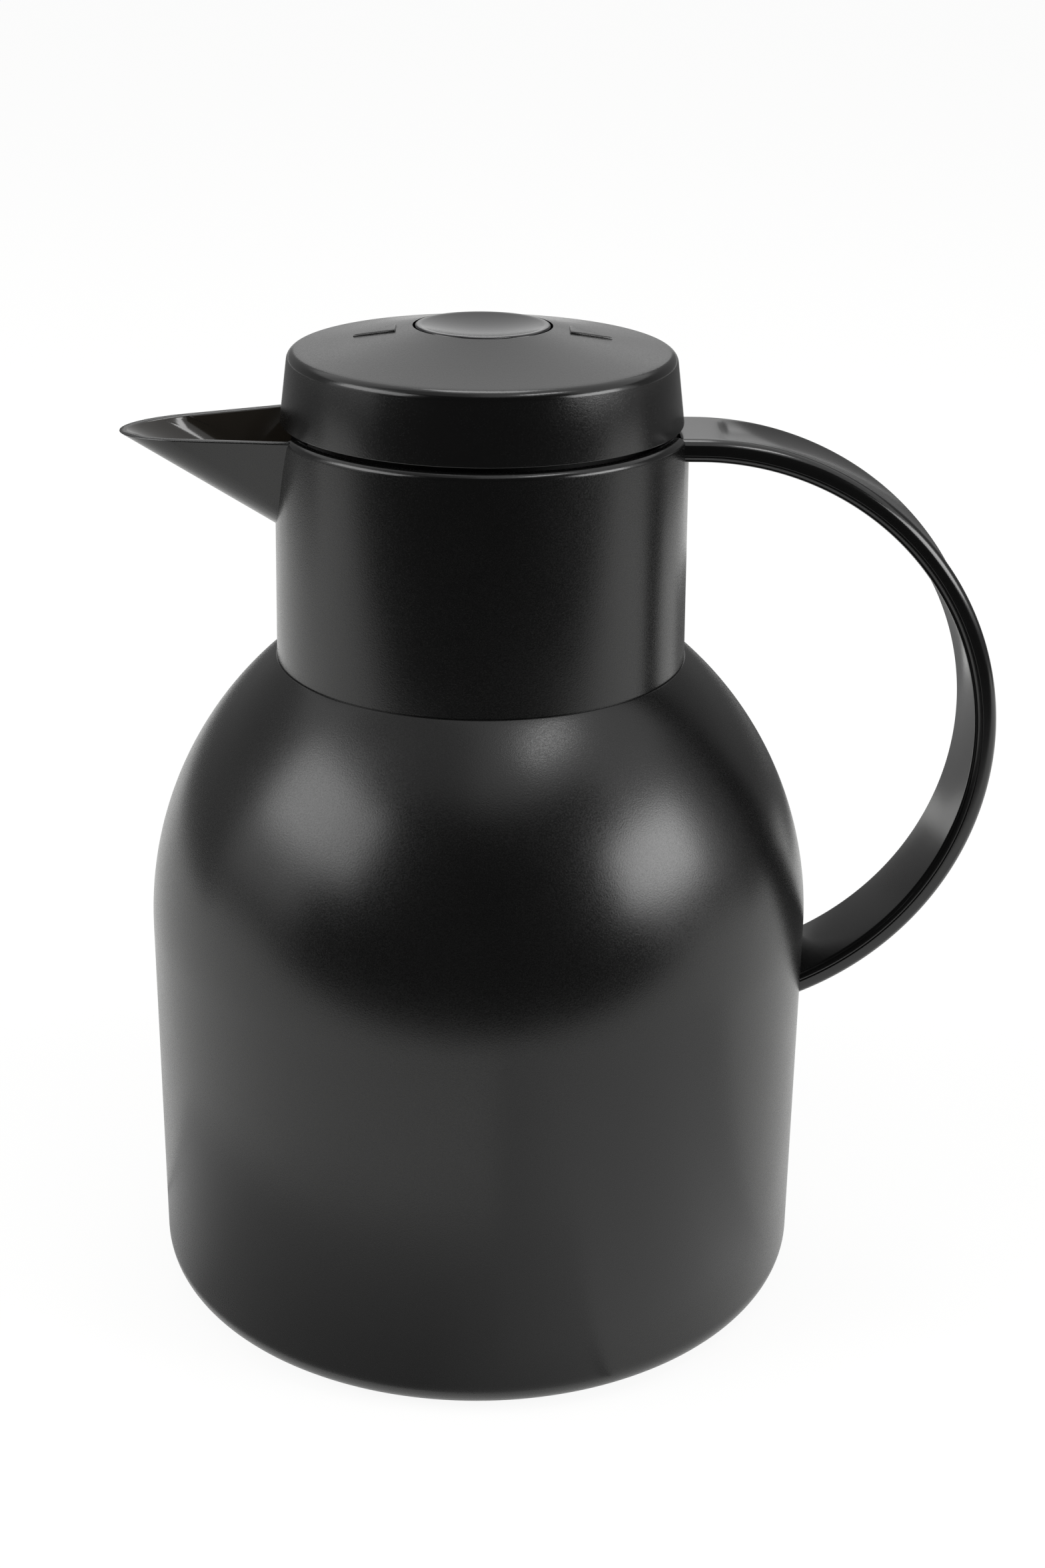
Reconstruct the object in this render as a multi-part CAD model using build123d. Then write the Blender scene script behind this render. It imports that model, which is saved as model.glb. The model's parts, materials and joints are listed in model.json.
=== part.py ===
from build123d import *
from math import acos, asin, atan, cos, degrees, radians, sin, sqrt, tan
import os

# Vacuum carafe with a ring handle, a moulded pouring spout and a press-button stopper.
# Millimetres, +Z up. The origin is on the jug's axis at the face it stands on. The handle points
# to +X, the spout to -X. The jug is one body; the stopper lifts out, turns to lock, and its
# button pushes a valve down into the neck of the glass flask.

os.makedirs("parts", exist_ok=True)

# ---------------------------------------------------------------- body shell
body_radius = 70.0          # straight side of the jug
body_wall = 2.6
shoulder_height = 81.6      # where the straight side ends and the dome begins
dome_radius = 76.6          # arc of the dome, tangent to the straight side
base_round = 7.0            # rounding of the lower edge
lip_land = 1.0              # flat left under the lower edge, inside the rounding
lip_lift = 0.6              # the lower edge clears the table by this
lip_height = 8.0            # threaded bore that takes the base cover
neck_sleeve_height = 8.0    # threaded neck that takes the collar
neck_sleeve_wall = 2.2

# ---------------------------------------------------------------- collar
collar_base_radius = 42.2
collar_top_radius = 41.5
collar_height = 47.25
collar_wall = 2.3
collar_land = 3.3           # seam face between the collar's outside and its threaded spigot
spigot_height = 7.0
rim_round = 1.2
well_depth = 27.9           # rim down to the stopper's seat
funnel_rise = 7.5
seat_radius = 27.5
throat_radius = 20.0
floor_thickness = 2.5
gasket_skirt_wall = 1.8     # wall below the floor that centres the gasket

# ---------------------------------------------------------------- spout
spout_reach = 72.8          # axis to the lip of the spout
spout_tip_drop = 1.6        # the lip lies this far below the collar's rim
spout_pitch = 31.0          # slope of the keel, degrees above horizontal
spout_keel_radius = 12.5
spout_flare = 22.0          # lean of the channel's sides, degrees off vertical
spout_wall = 1.8
spout_keel_wall = 1.0       # height of the channel's inside above its outside, along the keel

# ---------------------------------------------------------------- handle
ring_radius = 63.7          # outside of the round strap
strap_thickness = 3.1
cover_thickness = 1.5
handle_half_width = 11.3
cover_inset = 0.6           # the cover is this much narrower than the strap on each side
cover_edge_round = 1.0
handle_drop = 0.3           # strap's top below the rim
handle_offset = 1.8         # ring centre outside the collar's top radius
strap_edge_round = 1.1
strap_inner_round = 0.6
dish_depth = 0.6            # hollow along the outside of the strap
dish_margin = 1.9           # flat left each side of the hollow
pad_length = 6.0            # flat thumb pad next to the collar
tongue_height = 0.8
tongue_half_width = 6.5
tongue_play = 0.2           # degrees at the tongue's upper end

# ---------------------------------------------------------------- glass flask
flask_clearance = 3.4       # between the body's inside and the flask
glass_wall = 1.6
vacuum_gap = 3.5
neck_gap = 3.0              # between the two walls in the neck
flask_bore = 19.0           # radius of the mouth
flask_base_round = 24.0     # corner between the flask's side and its bottom
flask_top_clearance = 1.2   # between the flask's shoulder and the collar's spigot
rim_height = 3.0            # fused rim that joins the two walls
rim_fillet = 1.4
tip_radius = 3.5            # sealed evacuation tip under the flask
tip_length = 4.6
tip_round = 2.1
spacer_radius = 4.0
spacer_count = 3
spacer_height = 50.0
spacer_turn = 60.0          # degrees from the handle to the first spacer
gasket_thickness = 1.5
gasket_drop = 6.0
gasket_wall = 1.8

# ---------------------------------------------------------------- base
recess_depth = 3.0
base_floor = 2.4
standing_ring = 6.0
standing_chamfer = 0.7
base_wall = 2.4
grip_bar_length = 78.0
grip_bar_width = 7.0
cushion_radius = 24.0
cushion_bore = 8.0
cushion_rise = 1.5          # cushion's rim round the flask's bottom
flask_lift = 8.0            # flask's bottom above the base cover's floor

# ---------------------------------------------------------------- stopper
lid_gap = 1.2               # shadow gap between the collar's rim and the lid
lid_radius = 40.4
lid_corner = 1.0
lid_height = 13.0           # lower edge to the corner where the top begins
lid_top_radius = 38.7
lid_edge_round = 1.1
lid_dome_rise = 5.7         # corner up to the edge of the button's hole
lid_dome_bulge = 0.25
cap_wall = 2.2
cap_bore_inset = 3.6        # lid radius less the bore that takes the stopper's plate
plate_thickness = 2.0
plate_lift = 0.3
cap_rib = 0.8
cap_rib_height = 2.0
drum_radius = 35.0
drum_wall = 1.8
drum_floor = 2.0
drum_depth = 12.6           # stopper plate down to the drum's underside
tube_radius = 17.5
tube_wall = 2.3
tube_below_seat = 14.7
port_sill = 0.8             # tube left standing above the flange and below the drum
port_count = 4
port_post = 28.0            # degrees left standing between two ports
port_turn = 45.0            # degrees from the handle to the middle of a post
flange_thickness = 2.2
flange_radius = 26.0
seal_thickness = 2.2
seal_radius = 26.5
seal_lip_depth = 3.0
seal_lip_taper = 0.75
arrow_inner = 17.2          # raised arrow heads on the lid, distances from the axis
arrow_outer = 25.8
arrow_half_width = 3.3
arrow_height = 0.45

# ---------------------------------------------------------------- twist lock
lug_height = 3.0
lug_reach = 2.6
lug_half_angle = 12.0
lug_places = (90.0, 270.0)  # degrees from the handle to the middle of each lug
lock_turn = 45.0            # clockwise turn from the entry gap to the lock
lock_play = 3.0             # degrees between a lug and the ledge beside it
ledge_height = 2.2
stop_width = 2.5            # degrees
stop_play = 0.5             # degrees between a lug and its stop
bayonet_wall = 1.2
bayonet_height = 15.5
bayonet_drop = 0.4

# ---------------------------------------------------------------- button and valve
button_radius = 13.45
button_gap = 0.45
button_proud = 0.25         # rim of the button above the edge of its hole
button_wall = 1.6
button_edge_round = 0.5
button_corner = 3.0         # thickened corner under the dish
button_dish = 1.8
button_skirt = 7.7
button_flange = 1.8
button_flange_height = 2.0
button_travel = 4.5
sleeve_wall = 1.7
rod_radius = 2.5
rod_boss_wall = 2.0
rod_boss_length = 6.0
rod_socket = 5.0            # depth of the boss's socket
guide_wall = 2.5
guide_below = 5.0
rod_seal_section = 1.3
spring_wire = 0.6           # wire radius
spring_coil = 7.4
spring_turns = 6.0
valve_rim = 0.5             # tube's outside less the valve's
valve_seal_width = 4.4
valve_seal_height = 2.0
valve_plate = 2.8
valve_core_rise = 2.6
clip_depth = 0.8            # depth of the groove in the rod
rod_end = 1.6               # rod below its clip
clip_thickness = 1.0
clip_width = 3.0
clip_mouth = 3.2

# ---------------------------------------------------------------- screws
upper_screw_radius = 0.95
upper_screw_head = 1.55     # radius of its countersunk head
upper_screw_length = 9.0
lower_screw_radius = 1.25
lower_screw_head = 2.4
lower_head_height = 1.1
lower_screw_length = 8.0
lower_boss_radius = 3.6

# ---------------------------------------------------------------- clearances
thread_fit = 0.10           # plain cylinders stand for threads
running_fit = 0.06          # rod in its guide
seat_fit = 0.05             # fixed pieces that butt on curved faces
loose_fit = 0.30            # curved faces that pass each other
press_fit = 0.02            # screws and clips in their holes
overrun = 1.0               # a cut runs this far past the face it opens

# ---------------------------------------------------------------- derived sizes
dome_centre = body_radius - dome_radius
seam_z = shoulder_height + sqrt(dome_radius ** 2 - (collar_base_radius - dome_centre) ** 2)
rim_z = seam_z + collar_height
body_inner = body_radius - body_wall
dome_inner = dome_radius - body_wall
lip_bore = body_radius - base_round - lip_land
lip_top = lip_lift + lip_height
neck_bore = collar_base_radius - collar_land
spigot_radius = neck_bore - thread_fit
spigot_bore = spigot_radius - collar_wall
well_radius = collar_top_radius - collar_wall
seat_z = rim_z - well_depth
funnel_slope = funnel_rise / (well_radius - seat_radius)
floor_under_z = seat_z - floor_thickness
cover_radius = lip_bore - thread_fit
base_floor_top = recess_depth + base_floor
flask_radius = body_inner - flask_clearance
flask_neck = flask_bore + 2 * glass_wall + neck_gap
flask_bottom = base_floor_top + flask_lift
flask_shoulder_top = seam_z - spigot_height - flask_top_clearance
flask_shoulder_in = flask_radius - spigot_bore
flask_dome = (flask_shoulder_in ** 2 + (flask_shoulder_top - shoulder_height) ** 2) / (2 * flask_shoulder_in)
flask_dome_centre = flask_radius - flask_dome
mouth_z = floor_under_z - gasket_thickness
gasket_radius = flask_neck + press_fit + gasket_wall
handle_x = collar_top_radius + handle_offset
handle_z = rim_z - handle_drop - ring_radius
cover_outer = ring_radius - strap_thickness
cover_inner = cover_outer - cover_thickness
ring_middle = (ring_radius + cover_inner) / 2
lid_bottom = rim_z + lid_gap
plate_bottom = lid_bottom + plate_lift
plate_top = plate_bottom + plate_thickness
cap_bore = lid_radius - cap_bore_inset
button_hole = button_radius + button_gap
hole_edge_z = lid_bottom + lid_height + lid_dome_rise
button_top = hole_edge_z + button_proud
flange_top = button_top - button_skirt
drum_under = plate_bottom - drum_depth
drum_floor_top = drum_under + drum_floor
tube_end = seat_z - tube_below_seat
flange_bottom = seat_z + seal_thickness
valve_radius = tube_radius - valve_rim
ledge_bore = drum_radius + loose_fit
lug_radius = drum_radius + lug_reach
lug_bottom = drum_under
lug_top = lug_bottom + lug_height
bayonet_radius = well_radius - seat_fit
bayonet_inner = bayonet_radius - bayonet_wall
bayonet_top = rim_z - bayonet_drop
bayonet_bottom = bayonet_top - bayonet_height
spout_slope = tan(radians(spout_pitch))
tip_z = rim_z - spout_tip_drop
skirt_start_z = lid_bottom + lid_corner
lid_corner_z = lid_bottom + lid_height
pad_turn = degrees((pad_length - handle_offset) / ring_radius)
strap_angle = acos((body_radius - handle_x) / ring_middle)   # where the strap meets the shell
lower_head_room = body_radius - flask_radius - loose_fit - lower_screw_head * cos(strap_angle)
lower_head_start = lower_head_room / sin(strap_angle) - lower_head_height
dish_under = button_top - button_dish - button_wall
boss_end = dish_under - rod_boss_length
socket_top = boss_end + rod_socket
guide_top = boss_end - button_travel - loose_fit             # the boss stops on it when pressed
guide_end = drum_under - guide_below
seal_face = tube_end                                         # the valve closes the tube's end
plate_face = seal_face - valve_seal_height
clip_top = plate_face - valve_plate
valve_core = valve_radius - valve_seal_width


# ---------------------------------------------------------------- helpers
def turned(edges):
    """Solid of revolution about Z from the closed outline's edges in the XZ plane."""
    return revolve(Plane.XZ * make_face(edges), axis=Axis.Z)


def outline(*points):
    """Closed polygon through the points."""
    return Polyline(*points, close=True)


def ring(inner, outer, low, high):
    """Flat ring about Z."""
    return turned([outline((inner, low), (outer, low), (outer, high), (inner, high))])


def disc(radius, low, high):
    """Cylinder about Z."""
    return Pos(0, 0, low) * Cylinder(radius, high - low, align=(Align.CENTER, Align.CENTER, Align.MIN))


def sector(inner, outer, low, high, start, end):
    """Part of a flat ring between two angles in degrees."""
    face = Plane.XZ * make_face([outline((inner, low), (outer, low), (outer, high), (inner, high))])
    return Rot(0, 0, start) * revolve(face, axis=Axis.Z, revolution_arc=end - start)


def arc_z(centre, radius, across):
    """Height where a dome arc reaches a radius from the axis."""
    return shoulder_height + sqrt(radius ** 2 - (across - centre) ** 2)


def dome_arc(centre, radius, across):
    """Dome arc from the straight side, at shoulder height, up to a radius from the axis."""
    return CenterArc((centre, shoulder_height), radius, 0, degrees(acos((across - centre) / radius)))


def save(shape, node):
    """Write one node."""
    shape.label = node
    export_step(shape, f"parts/{node}.step")


# ---------------------------------------------------------------- body shell and base
def body_outline(grow=0.0):
    """Full outside of the shell with its dome run to the collar, grown by a seating gap."""
    radius = body_radius + grow
    bottom = lip_lift - grow
    corner = base_round + grow
    top = arc_z(dome_centre, dome_radius + grow, collar_base_radius)
    return [
        Line((0, bottom), (radius - corner, bottom)),
        CenterArc((radius - corner, bottom + corner), corner, 270, 90),
        Line((radius, bottom + corner), (radius, shoulder_height)),
        dome_arc(dome_centre, dome_radius + grow, collar_base_radius),
        Line((collar_base_radius, top), (0, top)),
        Line((0, top), (0, bottom)),
    ]


def make_body_shell():
    """Moulded outer shell: straight side, dome, threaded neck sleeve and threaded lower lip."""
    sleeve = neck_bore + neck_sleeve_wall
    sleeve_low = seam_z - neck_sleeve_height
    sleeve_top = arc_z(dome_centre, dome_inner, sleeve)
    lip_slope_z = lip_top + (body_inner - lip_bore)
    shell = turned([
        Line((lip_bore, lip_lift), (body_radius - base_round, lip_lift)),
        CenterArc((body_radius - base_round, lip_lift + base_round), base_round, 270, 90),
        Line((body_radius, lip_lift + base_round), (body_radius, shoulder_height)),
        dome_arc(dome_centre, dome_radius, collar_base_radius),
        Polyline(
            (collar_base_radius, seam_z),
            (neck_bore, seam_z),
            (neck_bore, sleeve_low),
            (sleeve, sleeve_low),
            (sleeve, sleeve_top),
        ),
        dome_arc(dome_centre, dome_inner, sleeve),
        Polyline(
            (body_inner, shoulder_height),
            (body_inner, lip_slope_z),
            (lip_bore, lip_top),
            (lip_bore, lip_lift),
        ),
    ])
    deep = lower_head_start + lower_head_height
    boss = lower_screw_cylinder(lower_boss_radius, -lower_head_start, 0) & turned(body_outline())
    hole = lower_screw_cylinder(lower_screw_radius + press_fit, -deep, body_wall)
    counterbore = lower_screw_cylinder(lower_screw_head + press_fit, -2 * deep, -lower_head_start)
    return shell + boss - hole - counterbore


def make_base_cover():
    """Screw-in base with its standing ring, a recessed floor and a bar to turn it by."""
    inside = cover_radius - standing_ring
    cover = turned([outline(
        (0, recess_depth),
        (inside, recess_depth),
        (inside, standing_chamfer),
        (inside + standing_chamfer, 0),
        (cover_radius - standing_chamfer, 0),
        (cover_radius, standing_chamfer),
        (cover_radius, lip_top),
        (cover_radius - base_wall, lip_top),
        (cover_radius - base_wall, base_floor_top),
        (0, base_floor_top),
    )])
    bar = Pos(0, 0, standing_chamfer) * Box(
        grip_bar_length, grip_bar_width, base_floor_top - standing_chamfer,
        align=(Align.CENTER, Align.CENTER, Align.MIN))
    return cover + (bar & disc(inside, 0, base_floor_top))


def make_flask_cushion():
    """Rubber cup between the base cover and the rounded bottom of the flask."""
    block = ring(cushion_bore, cushion_radius, base_floor_top, flask_bottom + cushion_rise)
    return block - flask_solid(-seat_fit)


# ---------------------------------------------------------------- glass flask
def flask_solid(inset, top=mouth_z):
    """Solid inside one of the flask's four surfaces, found by its inset from the outermost."""
    radius = flask_radius - inset
    bottom = flask_bottom + inset
    corner = flask_base_round - inset
    dome = flask_dome - inset
    neck = flask_neck - inset
    if inset > glass_wall:
        neck += vacuum_gap - neck_gap
    return turned([
        Line((0, bottom), (radius - corner, bottom)),
        CenterArc((radius - corner, bottom + corner), corner, 270, 90),
        Line((radius, bottom + corner), (radius, shoulder_height)),
        dome_arc(flask_dome_centre, dome, neck),
        Polyline((neck, arc_z(flask_dome_centre, dome, neck)), (neck, top), (0, top), (0, bottom)),
    ])


def make_flask_outer():
    """Outer glass wall with the sealed tip, up to the fused rim."""
    top = mouth_z - rim_height
    wall = flask_solid(0, top) - flask_solid(glass_wall, top)
    tip = disc(tip_radius, flask_bottom - tip_length, flask_bottom + glass_wall / 2)
    tip = fillet(tip.edges().group_by(Axis.Z)[0], tip_round)
    return wall + tip


def make_flask_inner():
    """Inner glass wall with the fused, rounded rim."""
    inset = glass_wall + vacuum_gap
    wall = flask_solid(inset) - flask_solid(inset + glass_wall)
    rim = ring(flask_bore, flask_neck, mouth_z - rim_height, mouth_z)
    rim = fillet(rim.edges().group_by(Axis.Z)[-1], rim_fillet)
    room = ring(flask_bore - overrun, flask_neck, mouth_z - rim_height, mouth_z + overrun)
    return (wall - room) + rim


def make_flask_spacers():
    """Pads that keep the two glass walls apart low in the flask."""
    outer = flask_radius - glass_wall
    inner = outer - vacuum_gap
    reach = sqrt((outer - seat_fit) ** 2 - spacer_radius ** 2)
    start = inner + seat_fit
    pad = Pos(start, 0, spacer_height) * (
        Rot(0, 90, 0) * Cylinder(spacer_radius, reach - start,
                                 align=(Align.CENTER, Align.CENTER, Align.MIN)))
    turns = [spacer_turn + k * 360 / spacer_count for k in range(spacer_count)]
    return Compound(children=[Rot(0, 0, turn) * pad for turn in turns])


def make_neck_gasket():
    """Rubber ring that seals the flask's mouth under the collar."""
    inner = flask_neck + press_fit
    return turned([outline(
        (throat_radius, mouth_z),
        (inner, mouth_z),
        (inner, mouth_z - gasket_drop),
        (gasket_radius, mouth_z - gasket_drop),
        (gasket_radius, floor_under_z),
        (throat_radius, floor_under_z),
    )])


# ---------------------------------------------------------------- collar and spout
def channel_face(x, wall, keel_wall, top):
    """Section of the spout's channel at x: straight flaring sides on a round keel."""
    keel = tip_z - (spout_reach + x) * spout_slope + keel_wall
    lean = radians(spout_flare)
    radius = spout_keel_radius - wall * cos(radians(spout_pitch))
    centre = keel + radius
    side_y = radius * cos(lean)
    side_z = centre - radius * sin(lean)
    top_y = side_y + (top - side_z) * tan(lean)
    edges = [
        ThreePointArc((-side_y, side_z), (0, keel), (side_y, side_z)),
        Line((side_y, side_z), (top_y, top)),
        Line((top_y, top), (-top_y, top)),
        Line((-top_y, top), (-side_y, side_z)),
    ]
    plane = Plane(origin=(x, 0, 0), x_dir=(0, 1, 0), z_dir=(1, 0, 0))
    return plane * make_face(edges)


def channel(start, wall, keel_wall, top):
    """The channel's outside or inside run along the keel's slope, past the spout's tip."""
    slope = radians(spout_pitch)
    length = (spout_reach + start + spout_keel_radius) / cos(slope)
    face = channel_face(start, wall, keel_wall, top)
    return extrude(face, amount=length, dir=(-cos(slope), 0, sin(slope)))


def above_spout_rim():
    """Space above the spout's rim, which falls gently from the collar to the tip."""
    fall = atan(spout_tip_drop / (spout_reach - well_radius))
    block = Box(4 * spout_reach, 4 * spout_reach, 4 * spout_reach,
                align=(Align.CENTER, Align.CENTER, Align.MIN))
    return Pos(-well_radius, 0, rim_z) * Rot(0, -degrees(fall), 0) * block


def collar_cone(grow, low, high):
    """Solid cone of the collar's outside, grown by a seating gap."""
    lean = (collar_base_radius - collar_top_radius) / collar_height

    def radius(z):
        return collar_top_radius + (rim_z - z) * lean + grow

    return turned([outline((0, low), (radius(low), low), (radius(high), high), (0, high))])


def make_collar():
    """Collar with its funnel floor, threaded spigot, pouring spout and handle notch."""
    skirt_in = gasket_radius + press_fit
    skirt_out = skirt_in + gasket_skirt_wall
    skirt_low = mouth_z - gasket_drop
    under_rise = floor_thickness * sqrt(1 + funnel_slope ** 2)

    def under(r):
        return seat_z + (r - seat_radius) * funnel_slope - under_rise

    spigot_low = seam_z - spigot_height
    shell = turned([
        Line((collar_base_radius, seam_z), (collar_top_radius, rim_z - rim_round)),
        CenterArc((collar_top_radius - rim_round, rim_z - rim_round), rim_round, 0, 90),
        Polyline(
            (collar_top_radius - rim_round, rim_z),
            (well_radius, rim_z),
            (well_radius, seat_z + funnel_rise),
            (seat_radius, seat_z),
            (throat_radius, seat_z),
            (throat_radius, floor_under_z),
            (skirt_in, floor_under_z),
            (skirt_in, skirt_low),
            (skirt_out, skirt_low),
            (skirt_out, min(under(skirt_out), floor_under_z + floor_thickness / 2)),
            (spigot_bore, under(spigot_bore)),
            (spigot_bore, spigot_low),
            (spigot_radius, spigot_low),
            (spigot_radius, seam_z),
            (collar_base_radius, seam_z),
        ),
    ])
    horn_start = -(well_radius - collar_wall)
    horn_top = rim_z + spout_reach
    horn = channel(horn_start, 0, 0, horn_top) - above_spout_rim() - disc(well_radius, 0, horn_top)
    trough_start = -(seat_radius + loose_fit)
    trough = channel(trough_start, spout_wall, spout_keel_wall, horn_top)
    trough = trough & (Pos(0, 0, seat_z) * Box(
        4 * spout_reach, 4 * spout_reach, 2 * spout_reach, align=(Align.MAX, Align.CENTER, Align.MIN)))
    notch = Pos(well_radius / 2, 0, rim_z - handle_drop - strap_thickness) * Box(
        body_radius, 2 * (handle_half_width + press_fit), 2 * strap_thickness,
        align=(Align.MIN, Align.CENTER, Align.MIN))
    return shell + horn - trough - notch


def make_bayonet_ring():
    """Open ring inside the collar with two locking ledges and the stops beside them."""
    half_window = degrees(asin((channel_half_width(bayonet_top) + loose_fit) / bayonet_radius))
    wall = sector(bayonet_inner, bayonet_radius, bayonet_bottom, bayonet_top,
                  half_window - 180, 180 - half_window)
    ledge_low = lug_top + loose_fit
    ledge_high = ledge_low + ledge_height
    root = (bayonet_inner + bayonet_radius) / 2
    for middle in lug_places:
        near = middle - lug_half_angle - lock_play
        far = middle - lock_turn - lug_half_angle - stop_play
        wall += sector(ledge_bore, root, ledge_low, ledge_high, far - stop_width, near)
        wall += sector(ledge_bore, root, lug_bottom, ledge_high, far - stop_width, far)
        back = middle + lug_half_angle + stop_play
        wall += sector(ledge_bore, root, lug_bottom, ledge_high, back, back + stop_width)
    return wall - upper_screw_hole()


def channel_half_width(z):
    """Half width of the spout's inside where it passes the collar's wall, at a height."""
    lean = radians(spout_flare)
    keel = tip_z - (spout_reach - well_radius) * spout_slope + spout_keel_wall
    radius = spout_keel_radius - spout_wall * cos(radians(spout_pitch))
    side_z = keel + radius * (1 - sin(lean))
    return radius * cos(lean) + (z - side_z) * tan(lean)


# ---------------------------------------------------------------- handle
def strap_section():
    """Cross-section of the strap, with rounded edges."""
    face = Pos(0, -strap_thickness / 2) * Rectangle(2 * handle_half_width, strap_thickness)
    face = fillet(face.vertices().group_by(Axis.Y)[-1], strap_edge_round)
    return fillet(face.vertices().group_by(Axis.Y)[0], strap_inner_round)


def swept_strap(section, start=0.0):
    """Section carried round the ring from above its centre down into the body, from a start angle."""
    top = Plane(origin=(handle_x, 0, handle_z + ring_radius), x_dir=(0, 1, 0), z_dir=(1, 0, 0))
    centre = Axis((handle_x, 0, handle_z), (0, 1, 0))
    overshoot = degrees(2 * (ring_radius - cover_inner) / ring_middle)
    end = 90 + degrees(strap_angle) + overshoot
    face = (top * section).rotate(centre, start)
    return revolve(face, axis=centre, revolution_arc=end - start)


def handle_root(section):
    """Straight run of the section from above the ring's centre to the collar."""
    top = Plane(origin=(handle_x, 0, handle_z + ring_radius), x_dir=(0, 1, 0), z_dir=(1, 0, 0))
    return extrude(top * section, amount=-(handle_x - well_radius / 2))


def body_envelope():
    """Everything inside the body shell's outside, with a seating gap."""
    return turned(body_outline(seat_fit))


def make_handle_strap():
    """Outer strap of the handle, with a flat pad at the collar and a hollow along the rest."""
    strap = swept_strap(strap_section()) + handle_root(strap_section())
    half = handle_half_width - dish_margin
    hollow = make_face([
        ThreePointArc((-half, 0), (0, -dish_depth), (half, 0)),
        Polyline((half, 0), (half, overrun), (-half, overrun), (-half, 0)),
    ])
    strap -= swept_strap(hollow, pad_turn)
    groove = Pos(0, -strap_thickness) * Rectangle(
        2 * (tongue_half_width + seat_fit), 2 * (tongue_height + seat_fit))
    strap -= swept_strap(groove, pad_turn)
    strap -= body_envelope()
    strap -= disc(well_radius + seat_fit, 0, 2 * rim_z)
    strap -= upper_screw_hole()
    return strap - lower_screw_hole()


def make_handle_cover():
    """Inner cover of the handle, keyed into the strap by a long tongue."""
    half_width = handle_half_width - cover_inset
    plate = Pos(0, (cover_outer + cover_inner) / 2 - ring_radius) * Rectangle(
        2 * half_width, cover_thickness)
    plate = fillet(plate.vertices().group_by(Axis.Y)[0], cover_edge_round)
    tongue = Pos(0, -strap_thickness) * Rectangle(2 * tongue_half_width, 2 * tongue_height)
    cover = swept_strap(plate) + handle_root(plate) + swept_strap(tongue, pad_turn + tongue_play)
    cover -= body_envelope()
    cover -= collar_cone(seat_fit, 0, 2 * rim_z)
    return cover - lower_screw_hole()


def lower_screw_cylinder(radius, start, end):
    """Cylinder on the axis of the handle's lower screw, measured outwards from the shell."""
    point = Vector(body_radius, 0, handle_z - ring_middle * sin(strap_angle))
    along = Vector(sin(strap_angle), 0, cos(strap_angle))
    plane = Plane(origin=point + along * start, z_dir=along)
    return plane * Cylinder(radius, end - start, align=(Align.CENTER, Align.CENTER, Align.MIN))


def lower_screw_hole():
    """Blind hole for the lower screw in the strap and its cover."""
    return lower_screw_cylinder(lower_screw_radius + press_fit, -body_wall, lower_screw_length)


def countersunk(grow):
    """Upper screw along X at the strap's mid thickness, or its hole when grown."""
    shank = upper_screw_radius + grow
    head = upper_screw_head + grow
    length = upper_screw_length + grow
    solid = turned([outline((0, 0), (head, 0), (shank, head - shank), (shank, length), (0, length))])
    height = rim_z - handle_drop - strap_thickness / 2
    return Pos(bayonet_inner, 0, height) * Rot(0, 90, 0) * solid


def upper_screw_hole():
    """Countersunk hole through the bayonet ring into the strap."""
    return countersunk(press_fit)


def make_handle_screws():
    """Two screws that hold the strap: one behind the bayonet ring, one inside the shell."""
    start = -lower_head_start
    shank = lower_screw_cylinder(lower_screw_radius, start, lower_screw_length - press_fit)
    head = lower_screw_cylinder(lower_screw_head, start - lower_head_height, start)
    return Compound(children=[countersunk(0), shank + head])


# ---------------------------------------------------------------- lid and stopper
def skirt_radius(z):
    """Outside radius of the lid's leaning skirt at a height."""
    share = (z - skirt_start_z) / (lid_corner_z - skirt_start_z)
    return lid_radius + (lid_top_radius - lid_radius) * share


def rounded_corner(before, corner, after, radius):
    """Arc that rounds the corner between two straight lines."""
    corner = Vector(*corner)
    back = (Vector(*before) - corner).normalized()
    ahead = (Vector(*after) - corner).normalized()
    half = radians(back.get_angle(ahead)) / 2
    bisector = (back + ahead).normalized()
    middle = corner + bisector * (radius / sin(half) - radius)
    return ThreePointArc(corner + back * (radius / tan(half)), middle, corner + ahead * (radius / tan(half)))


def lid_outline(lift):
    """Lid's outside from its lower edge to the button's hole, with the top raised by a lift."""
    hole_edge = Vector(button_hole, hole_edge_z + lift)
    edge = rounded_corner((lid_radius, skirt_start_z), (lid_top_radius, lid_corner_z + lift),
                          hole_edge, lid_edge_round)
    crown = (edge @ 1 + hole_edge) / 2 + Vector(0, lid_dome_bulge)
    return [
        CenterArc((lid_radius - lid_corner, skirt_start_z), lid_corner, -90, 90),
        Line((lid_radius, skirt_start_z), edge @ 0),
        edge,
        ThreePointArc(edge @ 1, crown, hole_edge),
    ]


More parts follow.
